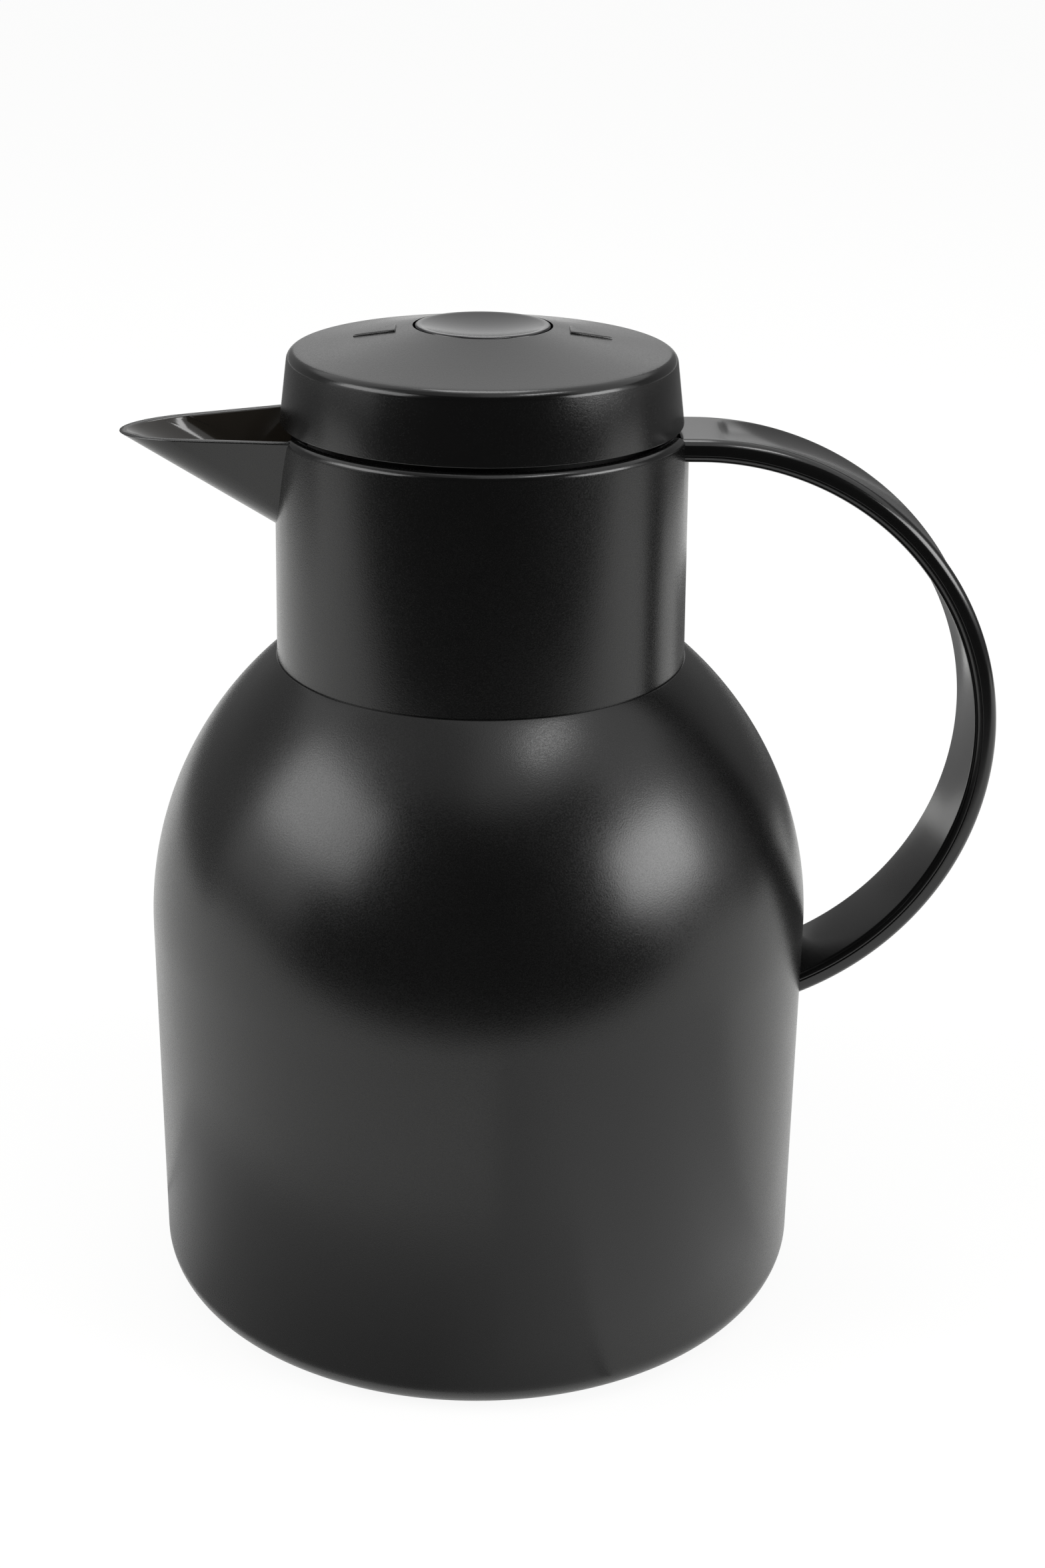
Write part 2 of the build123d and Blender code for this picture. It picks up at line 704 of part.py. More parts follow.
def make_lid_cap():
    """Lid shell: rounded lower edge, leaning skirt, shallow dome, button sleeve and arrow heads."""
    dome_slope = lid_dome_rise / (lid_top_radius - button_hole)
    sleeve = button_hole + sleeve_wall
    top_in = hole_edge_z - cap_wall - (sleeve - button_hole) * dome_slope
    edge_in_r = lid_top_radius - cap_wall
    edge_in_z = lid_corner_z - cap_wall
    rib = cap_bore - cap_rib
    rib_top = plate_top + cap_rib_height
    shell = turned(lid_outline(0) + [Polyline(
        (button_hole, hole_edge_z),
        (button_hole, flange_top),
        (sleeve, flange_top),
        (sleeve, top_in),
        (edge_in_r, edge_in_z),
        (skirt_radius(rib_top) - cap_wall, rib_top),
        (rib, rib_top),
        (rib, plate_top),
        (cap_bore, plate_top),
        (cap_bore, lid_bottom),
        (lid_radius - lid_corner, lid_bottom),
    )])
    raised = turned(lid_outline(arrow_height) + [Polyline(
        (button_hole, hole_edge_z + arrow_height),
        (button_hole, hole_edge_z - cap_wall / 2),
        (edge_in_r, edge_in_z + cap_wall / 2),
        (lid_radius - lid_corner, lid_bottom + lid_corner / 2),
        (lid_radius - lid_corner, lid_bottom),
    )])
    for side in (1, -1):
        arrow = make_face([outline(
            (side * arrow_inner, -arrow_half_width),
            (side * arrow_outer, 0),
            (side * arrow_inner, arrow_half_width),
        )])
        shell += raised & extrude(Pos(0, 0, edge_in_z) * arrow, amount=2 * lid_height, dir=(0, 0, 1))
    return shell


def make_stopper_body():
    """Plate, closed drum, locking lugs, pouring tube with its ports, seal flange and rod guide."""
    inner = drum_radius - drum_wall
    tube_in = tube_radius - tube_wall
    plate = ring(inner, cap_bore - seat_fit, plate_bottom, plate_top)
    drum = ring(inner, drum_radius, drum_under, plate_top)
    guide_in = rod_radius + running_fit
    guide_out = guide_in + guide_wall
    floor = ring(guide_in, drum_radius, drum_under, drum_floor_top)
    guide = ring(guide_in, guide_out, guide_end, guide_top)
    tube = ring(tube_in, tube_radius, tube_end, drum_under)
    flange = ring(tube_in, flange_radius, flange_bottom, flange_bottom + flange_thickness)
    body = plate + drum + floor + guide + tube + flange
    step = 360 / port_count
    port_low = flange_bottom + flange_thickness + port_sill
    port_high = drum_under - port_sill
    for k in range(port_count):
        start = port_turn + k * step + port_post / 2
        body -= sector(tube_in - overrun, tube_radius + overrun, port_low, port_high,
                       start, start + step - port_post)
    for middle in lug_places:
        body += sector(drum_radius - drum_wall / 2, lug_radius, lug_bottom, lug_top,
                       middle - lug_half_angle, middle + lug_half_angle)
    return body - disc(rod_radius + rod_seal_section, guide_end, guide_end + rod_seal_section)


def make_rod_seal():
    """Small seal round the rod in the lower end of its guide."""
    return ring(rod_radius + running_fit, rod_radius + rod_seal_section - seat_fit,
                guide_end, guide_end + rod_seal_section)


def make_stopper_seal():
    """Silicone ring that the stopper presses on its seat, with a lip down into the throat."""
    inner = tube_radius + loose_fit
    lip = throat_radius - loose_fit
    return turned([outline(
        (inner, seat_z + seal_thickness),
        (inner, seat_z - seal_lip_depth),
        (lip - seal_lip_taper, seat_z - seal_lip_depth),
        (lip, seat_z),
        (seal_radius, seat_z),
        (seal_radius, seat_z + seal_thickness),
    )])


# ---------------------------------------------------------------- button and valve
def make_button():
    """Dished push button with its skirt, stop flange and rod socket."""
    rim = button_radius - button_edge_round
    dish_edge = rim - button_edge_round
    dish_z = button_top - button_dish
    inside = button_radius - button_wall
    flange = button_radius + button_flange
    flange_low = flange_top - button_flange_height
    cup = turned([
        CenterArc((rim, button_top - button_edge_round), button_edge_round, 0, 90),
        Line((rim, button_top), (dish_edge, button_top)),
        dish_arc(dish_edge, button_top, dish_z),
        Polyline(
            (0, dish_z),
            (0, dish_under),
            (inside - button_corner, dish_under),
            (inside, dish_under + button_dish / 2),
            (inside, flange_low),
            (flange, flange_low),
            (flange, flange_top),
            (button_radius, flange_top),
            (button_radius, button_top - button_edge_round),
        ),
    ])
    boss = disc(rod_radius + rod_boss_wall, boss_end, dish_under + button_wall / 2)
    return cup + boss - disc(rod_radius + press_fit, boss_end - overrun, socket_top)


def dish_arc(edge, edge_z, centre_z):
    """Concave arc from the dish's edge to its middle."""
    depth = edge_z - centre_z
    radius = (edge ** 2 + depth ** 2) / (2 * depth)
    half = asin(edge / radius) / 2
    middle = (radius * sin(half), centre_z + radius * (1 - cos(half)))
    return ThreePointArc((edge, edge_z), middle, (0, centre_z))


def make_valve_disc():
    """Valve plate with a raised core that stands inside the tube."""
    core_top = seal_face + valve_core_rise
    valve = disc(valve_radius, clip_top, plate_face) + disc(valve_core, plate_face, core_top)
    return valve - disc(rod_radius + press_fit, clip_top - overrun, core_top + overrun)


def make_valve_seal():
    """Silicone ring on the valve plate."""
    return ring(valve_core + press_fit, valve_radius, plate_face, seal_face)


def make_plunger_rod():
    """Rod from the button down through the guide to the valve, grooved for its clip."""
    clip_low = clip_top - clip_thickness
    rod = disc(rod_radius, clip_low - rod_end, socket_top - press_fit)
    groove = ring(rod_radius - clip_depth, rod_radius + overrun, clip_low - press_fit, clip_top)
    return rod - groove


def make_valve_clip():
    """Open clip in the rod's groove under the valve plate."""
    inner = rod_radius - clip_depth + press_fit
    clip = ring(inner, inner + clip_width, clip_top - clip_thickness, clip_top)
    mouth = Box(2 * clip_width + rod_radius, clip_mouth, 4 * clip_thickness,
                align=(Align.MIN, Align.CENTER, Align.CENTER))
    return clip - Pos(0, 0, clip_top) * mouth


def make_return_spring():
    """Coil spring between the drum's floor and the button."""
    low = drum_floor_top + spring_wire + seat_fit
    high = dish_under - spring_wire - seat_fit
    path = Helix(pitch=(high - low) / spring_turns, height=high - low, radius=spring_coil)
    path = Pos(0, 0, low) * path
    section = Plane(origin=path @ 0, z_dir=path % 0) * Circle(spring_wire)
    return sweep(section, path=path, is_frenet=True)


def main():
    """Write every node."""
    makers = {
        "body_shell": make_body_shell,
        "base_cover": make_base_cover,
        "flask_cushion": make_flask_cushion,
        "flask_outer_wall": make_flask_outer,
        "flask_inner_wall": make_flask_inner,
        "flask_spacers": make_flask_spacers,
        "neck_gasket": make_neck_gasket,
        "collar_with_spout": make_collar,
        "bayonet_ring": make_bayonet_ring,
        "handle_strap": make_handle_strap,
        "handle_cover": make_handle_cover,
        "handle_screws": make_handle_screws,
        "lid_cap": make_lid_cap,
        "stopper_body": make_stopper_body,
        "rod_seal": make_rod_seal,
        "stopper_seal": make_stopper_seal,
        "push_button": make_button,
        "plunger_rod": make_plunger_rod,
        "valve_disc": make_valve_disc,
        "valve_seal": make_valve_seal,
        "valve_clip": make_valve_clip,
        "return_spring": make_return_spring,
    }
    for node, make in makers.items():
        save(make(), node)


main()
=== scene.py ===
# %% [markdown]
# # A vacuum carafe, dressed for its portrait
#
# The carafe is a black moulded jug around a glass vacuum flask. It has a ring handle, a horn-shaped
# pouring spout and a stopper with a push button. Its solid model is already made and packed. This
# lesson loads that model as a fixed frame, sets up the camera and the studio, mixes the finishes,
# and then models the pieces that the eye meets first at a finer quality than the solids have.

# %% Load the frame
import json
import math
import bmesh
import bpy
from mathutils import Matrix, Vector


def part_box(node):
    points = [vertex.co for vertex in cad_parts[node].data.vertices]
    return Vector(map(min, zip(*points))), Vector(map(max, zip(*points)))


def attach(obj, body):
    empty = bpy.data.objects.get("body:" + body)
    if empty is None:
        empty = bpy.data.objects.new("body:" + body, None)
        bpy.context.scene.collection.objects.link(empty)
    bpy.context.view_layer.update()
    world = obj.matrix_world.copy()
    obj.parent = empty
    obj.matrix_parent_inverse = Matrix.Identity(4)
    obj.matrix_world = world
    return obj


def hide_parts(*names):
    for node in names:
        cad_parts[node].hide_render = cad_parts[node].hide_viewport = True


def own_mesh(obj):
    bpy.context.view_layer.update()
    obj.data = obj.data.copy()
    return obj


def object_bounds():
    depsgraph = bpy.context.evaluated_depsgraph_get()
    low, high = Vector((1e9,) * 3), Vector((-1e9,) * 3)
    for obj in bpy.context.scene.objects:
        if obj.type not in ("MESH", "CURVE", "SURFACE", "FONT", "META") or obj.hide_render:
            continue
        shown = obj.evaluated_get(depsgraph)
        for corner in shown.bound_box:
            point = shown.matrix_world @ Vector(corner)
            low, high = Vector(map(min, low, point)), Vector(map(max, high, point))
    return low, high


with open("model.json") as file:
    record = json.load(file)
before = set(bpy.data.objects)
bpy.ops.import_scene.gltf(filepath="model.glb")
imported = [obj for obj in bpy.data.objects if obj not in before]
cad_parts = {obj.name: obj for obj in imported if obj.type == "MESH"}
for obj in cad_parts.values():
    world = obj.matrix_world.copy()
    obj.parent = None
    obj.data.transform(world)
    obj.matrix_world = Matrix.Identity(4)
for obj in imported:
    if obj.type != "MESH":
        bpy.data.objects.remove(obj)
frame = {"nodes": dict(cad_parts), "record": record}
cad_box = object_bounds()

nodes = frame["nodes"]

# %% [markdown]
# ## Camera
#
# A camera is a place, a direction, a roll about that direction and a focal length. The place is a
# little left of the jug's axis and slightly above the lid, looking down by some twenty degrees, as
# one looks at a jug on a table. The focal length is given for a sensor as tall as the picture, and
# the two small shifts slide the picture on the sensor without turning the camera.

# %% Camera
MM = 0.001
CAMERA_PLACE = Vector((1.011, -457.31, 297.15)) * MM
CAMERA_LOOK = Vector((0.02047, 0.92894, -0.36965))
CAMERA_ROLL = math.radians(0.84)
SENSOR_HEIGHT = 36.0
FOCAL_LENGTH = 53.27
SHIFT_X = -0.0065
SHIFT_Y = -0.01435


def add_camera():
    """The camera, turned so that its own -Z runs along the look."""
    data = bpy.data.cameras.new("portrait_camera")
    data.sensor_fit = "VERTICAL"
    data.sensor_height = SENSOR_HEIGHT
    data.lens = FOCAL_LENGTH
    data.shift_x = SHIFT_X
    data.shift_y = SHIFT_Y
    data.clip_start = 0.01
    data.clip_end = 100.0
    camera = bpy.data.objects.new("portrait_camera", data)
    turn = CAMERA_LOOK.to_track_quat("-Z", "Y").to_matrix().to_4x4()
    camera.matrix_world = Matrix.Translation(CAMERA_PLACE) @ turn @ Matrix.Rotation(CAMERA_ROLL, 4, "Z")
    bpy.context.scene.collection.objects.link(camera)
    bpy.context.scene.camera = camera
    return camera


bpy.context.scene.view_settings.view_transform = "Standard"
camera = add_camera()
print("camera at", tuple(round(v, 3) for v in camera.location))

# %% [markdown]
# ## Small helpers for every material and every mesh
#
# Colours are written as the hex values that a screen shows. Blender mixes light in linear values, so
# one function turns one into the other. The second function adds a node to a material: it sets the
# node's own properties and its sockets, and links sockets to the outputs of other nodes. The last
# one makes an object of the scene out of a mesh that has been built in bmesh. It first sorts points
# and faces along a slanting direction, because operators may hand them over in any order, and what
# is cut or saved afterwards should be the same each time.

# %% Colour, node and mesh helpers
SORTING = Vector((1.0, 0.73, 0.39))


def linear(hex_colour, alpha=1.0):
    """An sRGB hex colour such as "#1b1b1c" as linear red, green, blue and alpha."""
    values = [int(hex_colour[k:k + 2], 16) / 255 for k in (1, 3, 5)]
    return [v / 12.92 if v <= 0.04045 else ((v + 0.055) / 1.055) ** 2.4 for v in values] + [alpha]


def add_node(tree, kind, inputs=None, links=None, **settings):
    """Adds one shader node: settings are its properties, inputs its constants, links its feeds."""
    node = tree.nodes.new(kind)
    for name, value in settings.items():
        setattr(node, name, value)
    for socket, value in (inputs or {}).items():
        node.inputs[socket].default_value = value
    for socket, output in (links or {}).items():
        tree.links.new(output, node.inputs[socket])
    return node


def new_material(name):
    """An empty node material and its tree."""
    material = bpy.data.materials.new(name)
    material.use_nodes = True
    material.node_tree.nodes.clear()
    return material, material.node_tree


def make_object(name, bm):
    """Sorts a finished bmesh and turns it into an object of the scene."""
    bm.verts.sort(key=lambda vert: vert.co.dot(SORTING))
    bm.faces.sort(key=lambda face: face.calc_center_median().dot(SORTING))
    mesh = bpy.data.meshes.new(name)
    bm.to_mesh(mesh)
    bm.free()
    made = bpy.data.objects.new(name, mesh)
    bpy.context.scene.collection.objects.link(made)
    return made


print("linear mid grey:", [round(v, 3) for v in linear("#808080")[:3]])

# %% [markdown]
# ## Studio
#
# A black satin thing has hardly any colour of its own: what the eye reads as its shape is the light
# that it mirrors. So the studio is built as a product photographer builds it. The jug stands on a
# white table. White paper hangs behind it and overhead. Large soft boxes stand left and right, a
# little above the jug, and two smaller ones hang over it. The room in front is dark, because black
# flags keep the white table's near end and the room out of the reflection.
#
# The white of the table and the paper is given to camera rays, and to glossy and transmitted rays
# too, so that the plastic mirrors the same white that the picture shows.

# %% Table and paper
TABLE_WHITE = "#e6e6e4"
TABLE_RADIUS = 14.0
TABLE_SHARES = (0.9, 0.5)
PAPER_STRENGTH = 1.0
ROOM_GLOW = 0.85


def white_to_the_eye(tree, seen=1.0, mirrored=1.0):
    """The share of white: one for camera rays, one for glossy and transmitted rays, else 0."""
    path = add_node(tree, "ShaderNodeLightPath")
    bounced = add_node(tree, "ShaderNodeMath", operation="ADD",
                       links={0: path.outputs["Is Glossy Ray"], 1: path.outputs["Is Transmission Ray"]})
    bounced = add_node(tree, "ShaderNodeMath", {1: mirrored}, {0: bounced.outputs[0]},
                       operation="MULTIPLY")
    eye = add_node(tree, "ShaderNodeMath", {1: seen},
                   {0: path.outputs["Is Camera Ray"], 2: bounced.outputs[0]}, operation="MULTIPLY_ADD")
    return eye.outputs[0]


def table_material():
    """Matt white laminate: it glows white to the eye and still takes a soft shadow."""
    material, tree = new_material("white_table_laminate")
    matt = add_node(tree, "ShaderNodeBsdfDiffuse", {"Color": linear(TABLE_WHITE), "Roughness": 0.5})
    glow = add_node(tree, "ShaderNodeEmission", {"Color": (1, 1, 1, 1), "Strength": PAPER_STRENGTH})
    mixed = add_node(tree, "ShaderNodeMixShader", links={0: white_to_the_eye(tree, *TABLE_SHARES),
                                                         1: matt.outputs[0], 2: glow.outputs[0]})
    add_node(tree, "ShaderNodeOutputMaterial", links={"Surface": mixed.outputs[0]})
    return material


def add_table():
    """A wide round table top, level with the face that the jug stands on."""
    bm = bmesh.new()
    bmesh.ops.create_circle(bm, cap_ends=True, segments=96, radius=TABLE_RADIUS)
    bmesh.ops.translate(bm, verts=bm.verts, vec=(0, 0, cad_box[0][2]))
    table = make_object("table_top", bm)
    table.data.materials.append(table_material())
    return table


def light_the_room():
    """White paper all round: white to the eye, a plain level of light for the rest."""
    world = bpy.data.worlds.new("paper_room")
    bpy.context.scene.world = world
    world.use_nodes = True
    tree = world.node_tree
    tree.nodes.clear()
    eye = white_to_the_eye(tree)
    level = add_node(tree, "ShaderNodeMapRange", inputs={3: ROOM_GLOW, 4: PAPER_STRENGTH}, links={0: eye})
    paper = add_node(tree, "ShaderNodeBackground", {"Color": (1, 1, 1, 1)},
                     {"Strength": level.outputs[0]})
    add_node(tree, "ShaderNodeOutputWorld", links={"Surface": paper.outputs[0]})


add_table()
light_the_room()
print("table at z =", cad_box[0][2])

# %% [markdown]
# ## Soft boxes
#
# Each soft box is an area lamp that looks at the jug's shoulder. Its place is given as a compass
# angle round the jug, counted from the front towards the handle, and a height angle, all at one
# distance. The large one on each side has a smaller, stronger core, as a real soft box is brighter in
# its middle: that gives the dome's two soft spots their bright centres. A narrow box overhead draws
# the spot on the shoulder, and one behind the top draws the bright line along the lid's edge.

# %% Soft boxes
SHOULDER = Vector((0, 0, 0.12))
BOX_DISTANCE = 1.2
SOFT_BOXES = {
    # name: compass, height (degrees), width, height (m), power (W)
    "soft_box_spout_side": (-69, 31, 0.95, 0.50, 5.6),
    "soft_box_spout_core": (-69, 31, 0.52, 0.30, 4.0),
    "soft_box_handle_side": (68, 19, 0.70, 0.42, 5.6),
    "soft_box_handle_core": (68, 19, 0.34, 0.26, 4.2),
    "soft_box_overhead": (56, 64, 0.40, 0.14, 1.5),
    "soft_box_top": (180, 72, 0.40, 0.50, 2.6),
}


def direction(compass, height):
    """Unit vector from the jug: compass 0 is the front, 90 the handle's side."""
    around, up = math.radians(compass), math.radians(height)
    return Vector((math.sin(around) * math.cos(up), -math.cos(around) * math.cos(up), math.sin(up)))


def add_soft_box(name, compass, height, wide, tall, power):
    """An area lamp that looks at the shoulder."""
    data = bpy.data.lights.new(name, "AREA")
    data.shape = "RECTANGLE"
    data.size = wide
    data.size_y = tall
    data.energy = power
    lamp = bpy.data.objects.new(name, data)
    towards = -direction(compass, height)
    lamp.matrix_world = (Matrix.Translation(SHOULDER - towards * BOX_DISTANCE)
                         @ towards.to_track_quat("-Z", "Y").to_matrix().to_4x4())
    bpy.context.scene.collection.objects.link(lamp)
    return lamp


for box_name, values in SOFT_BOXES.items():
    add_soft_box(box_name, *values)
print("soft boxes:", ", ".join(SOFT_BOXES))

# %% [markdown]
# ## Flags and cards
#
# A flag keeps light out of a reflection and a card puts a little back. Upright ones are bent round the
# jug, each from one edge that is spun about its axis. Others lie on the table, where the lower part of
# the jug looks for its reflection: those are sprayed from one grey to another, and fade at their ends
# to the table's own level, so that no edge of a card can be seen in the plastic. The one on the left is
# a painted shadow: dark next to the jug and lighter further out, it stands in for the jug's own shadow
# on the table. Only mirrored rays meet them, because a flag that the camera or a shadow could see would
# be part of the picture.

# %% Flags and cards
FRONT_TABLE_EDGE = 0.28
TABLE_MIRRORED = 0.72
ON_TABLE = 0.001
CLOTH_HALF = (2.2, 1.0)
FLAG_STEPS, CARD_STEPS = 24, 48
FLAGS = {
    # name: compass from, to, height from, to (degrees), distance (m), grey that it mirrors
    "flag_front": (-62, 62, -9, 50, 2.4, 0.04),
    "flag_side_left": (-98, -62, -5, 3, 1.3, 0.30),
    "flag_side_right": (62, 98, -5, 3, 1.3, 0.30),
    "flag_rear_low_left": (-166, -98, -9, 4, 0.75, 0.22),
    "flag_rear_low_right": (98, 166, -9, 4, 0.75, 0.18),
    "flag_behind_handle": (132, 166, -19, -9, 0.34, 0.20),
    "flag_rear_left": (-166, -98, 3, 34, 1.3, 0.28),
    "flag_rear_right": (98, 166, 3, 34, 1.3, 0.24),
    "card_back_left": (-176, -166, -2, 16, 1.3, 0.60),
    "card_back_right": (166, 176, -2, 16, 1.3, 0.55),
    "card_above_left": (-100, -5, 50, 78, 2.4, 0.45),
}
TABLE_CARDS = {
    # name: compass from, to, near and far edge (m) from the axis, near and far grey, soft ends (degrees)
    # painted shadow: dark next to the jug and lighter further out, it stands in for the jug's shadow on
    # the table where the lower left of the plastic mirrors it
    "painted_table_shadow_left": (-100, 25, 0.072, 0.135, 0.32, 0.62, 35),
    "table_card_right": (5, 80, 0.085, 0.24, 1.0, 1.0, 18),
    "table_card_behind": (166, 192, 0.22, 0.50, 0.30, 0.30, 0),
}


def flag_material(name, grey):
    """Cloth or card, given as the grey that it sends to a mirror. None reads the grey off the mesh."""
    material, tree = new_material(name)
    glow = add_node(tree, "ShaderNodeEmission", {"Color": (1, 1, 1, 1), "Strength": grey or 0})
    if grey is None:
        sprayed = add_node(tree, "ShaderNodeAttribute", attribute_name="grey")
        tree.links.new(sprayed.outputs["Fac"], glow.inputs["Strength"])
    add_node(tree, "ShaderNodeOutputMaterial", links={"Surface": glow.outputs[0]})
    return material


def place_flag(name, bm, grey):
    """Makes a flag of the mesh, seen by mirrored rays alone."""
    flag = make_object(name, bm)
    flag.data.materials.append(flag_material(name, grey))
    flag.visible_camera = False
    flag.visible_diffuse = False
    flag.visible_shadow = False
    flag.visible_transmission = False
    return flag


def add_bent_flag(name, start, end, low, high, distance, grey):
    """A card bent round the jug: one upright edge, spun about the jug's axis."""
    bm = bmesh.new()
    ends = [bm.verts.new(SHOULDER + direction(start, height) * distance) for height in (low, high)]
    bm.edges.new(ends)
    bmesh.ops.spin(bm, geom=bm.verts[:] + bm.edges[:], cent=SHOULDER, axis=(0, 0, 1),
                   angle=math.radians(end - start), steps=FLAG_STEPS)
    return place_flag(name, bm, grey)


def add_table_card(name, start, end, near, far, near_grey, far_grey, soft_end):
    """A card on the table: a radial edge spun about the jug's axis, then sprayed point by point."""
    bm = bmesh.new()
    lift = Vector((0, 0, cad_box[0][2] + ON_TABLE))
    ends = [bm.verts.new(direction(start, 0) * distance + lift) for distance in (near, far)]
    bm.edges.new(ends)
    bmesh.ops.spin(bm, geom=bm.verts[:] + bm.edges[:], cent=(0, 0, 0), axis=(0, 0, 1),
                   angle=math.radians(end - start), steps=CARD_STEPS)
    spray = bm.verts.layers.float.new("grey")
    for vert in bm.verts:
        out = vert.co.xy.length
        turn = math.degrees(math.atan2(vert.co.x, -vert.co.y)) % 360
        inside = min((turn - start) % 360, (end - turn) % 360)
        full = near_grey if out < (near + far) / 2 else far_grey
        cover = min(1.0, inside / soft_end) if soft_end else 1.0
        vert[spray] = full * cover + TABLE_MIRRORED * (1 - cover)
    return place_flag(name, bm, None)


def add_table_flag():
    """A black cloth on the table between its front edge and the front flag."""
    bm = bmesh.new()
    bmesh.ops.create_grid(bm, x_segments=1, y_segments=1, size=1.0)
    bmesh.ops.scale(bm, vec=(*CLOTH_HALF, 1.0), verts=bm.verts)
    middle = (0, -FRONT_TABLE_EDGE - CLOTH_HALF[1], cad_box[0][2] + 2 * ON_TABLE)
    bmesh.ops.translate(bm, vec=middle, verts=bm.verts)
    return place_flag("flag_table_front", bm, FLAGS["flag_front"][-1])


for flag_name, values in FLAGS.items():
    add_bent_flag(flag_name, *values)
for card_name, values in TABLE_CARDS.items():
    add_table_card(card_name, *values)
add_table_flag()
print("flags:", ", ".join(FLAGS), "and the cloth on the table")

# %% [markdown]
# ## Moulded black polypropylene
#
# The jug, the collar and the stopper are polypropylene with carbon black in it. The steel moulds
# were spark-eroded, which leaves a fine even grain on the plastic: it spreads each reflection into
# a soft satin patch with a faint sparkle. Polypropylene has an index of refraction of 1.49 and is
# not metallic. The real grain is about 0.12 mm across. Here it is drawn 0.32 mm across, because
# anything finer would be lost between two pixels. The grain also changes the gloss a little, since
# its hollows keep more of the mould's roughness than its tops. At rims and corners the etching runs
# out, so a smoother version of the same plastic is kept for them.

# %% Black plastic
PP_IOR = 1.49
NYLON_IOR = 1.53
GRAIN_WIDTH = 0.32 * MM
GRAIN_DEPTH = 0.017 * MM
GRAIN_GLOSS = 0.05
FLOW_WIDTH = 22.0 * MM      # slow change of gloss, from the way the plastic flowed
FLOW_GLOSS = 0.02
NOISE_RANGE = {"From Min": 0.3, "From Max": 0.7}    # most of a noise lies between these


def black_plastic(name, colour, roughness, grain=1.0, ior=PP_IOR):
    """Black plastic from a spark-eroded mould: grain is the share of the full grain that it has."""
    material, tree = new_material(name)
    place = add_node(tree, "ShaderNodeTexCoord")
    pits = add_node(tree, "ShaderNodeTexNoise",
                    {"Scale": 1 / GRAIN_WIDTH, "Detail": 2.0, "Roughness": 0.6},
                    {"Vector": place.outputs["Object"]})
    flow = add_node(tree, "ShaderNodeTexNoise",
                    {"Scale": 1 / FLOW_WIDTH, "Detail": 3.0, "Roughness": 0.5},
                    {"Vector": place.outputs["Object"]})
    gloss = add_node(tree, "ShaderNodeMapRange",
                     {**NOISE_RANGE, "To Min": roughness - FLOW_GLOSS, "To Max": roughness + FLOW_GLOSS},
                     {"Value": flow.outputs["Fac"]})
    swing = grain * GRAIN_GLOSS
    speckle = add_node(tree, "ShaderNodeMapRange",
                       {**NOISE_RANGE, "To Min": -swing, "To Max": swing},
                       {"Value": pits.outputs["Fac"]})
    uneven = add_node(tree, "ShaderNodeMath", operation="ADD",
                      links={0: gloss.outputs["Result"], 1: speckle.outputs["Result"]})
    relief = add_node(tree, "ShaderNodeBump", {"Strength": 1.0, "Distance": grain * GRAIN_DEPTH},
                      {"Height": pits.outputs["Fac"]})
    surface = add_node(tree, "ShaderNodeBsdfPrincipled", {"Base Color": linear(colour), "IOR": ior},
                       {"Roughness": uneven.outputs["Value"], "Normal": relief.outputs["Normal"]})
    add_node(tree, "ShaderNodeOutputMaterial", links={"Surface": surface.outputs["BSDF"]})
    return material


FINISHES = {
    # satin, full grain: wide soft spots of light that sparkle a little
    "black_body": black_plastic("moulded_black_polypropylene_body", "#060606", 0.27),
    "black_collar": black_plastic("moulded_black_polypropylene_collar", "#060606", 0.25),
    "black_lid": black_plastic("moulded_black_polypropylene_lid", "#060606", 0.23),
    # nearly polished: the dish of the button fades evenly from dark to light
    "black_button": black_plastic("polished_black_polypropylene_button", "#08080a", 0.18, 0.2),
    # glass-filled nylon out of a smoother mould: sharper lines of light, for a part that hands rub
    "black_handle": black_plastic("moulded_black_nylon_handle", "#060606", 0.16, 0.2, NYLON_IOR),
    # left as the mould gave it, where nobody looks: dull
    "black_base": black_plastic("moulded_black_polypropylene_base", "#0c0c0c", 0.50),
    "black_inner": black_plastic("plain_black_polypropylene_inside", "#0c0c0c", 0.45),
}
# polished so that drops run off; its lighter, browner colour is a painted sheen that stands in for light
# caught inside the channel
POLISHED_CHANNEL_PAINTED_SHEEN = black_plastic("polished_black_polypropylene_channel_painted_sheen", "#1b1814", 0.09, 0.02)
# where the grain runs out: the light draws a clean line
SMOOTH_EDGE = black_plastic("smooth_black_polypropylene_edge", "#060606", 0.18, 0.4)
print("finishes:", ", ".join(FINISHES))

# %% [markdown]
# ## Rubber, silicone and natural plastic
#
# These show only when the stopper is out or the jug is turned over, but they are mixed with the same
# care. Moulded rubber and silicone are dull and slightly cloudy, with hollows that hold the dust of
# the mould. Silicone and natural polypropylene let light a little way in, which takes the hardness
# off their edges. Subsurface scattering does that without the noise of real transparency.

# %% Rubber, silicone and natural plastic
SILICONE_IOR, RUBBER_IOR = 1.41, 1.52
RUBBER_RELIEF, SCATTER_DEPTH = 0.02 * MM, 0.8 * MM
CLOUD_GLOSS = 0.08


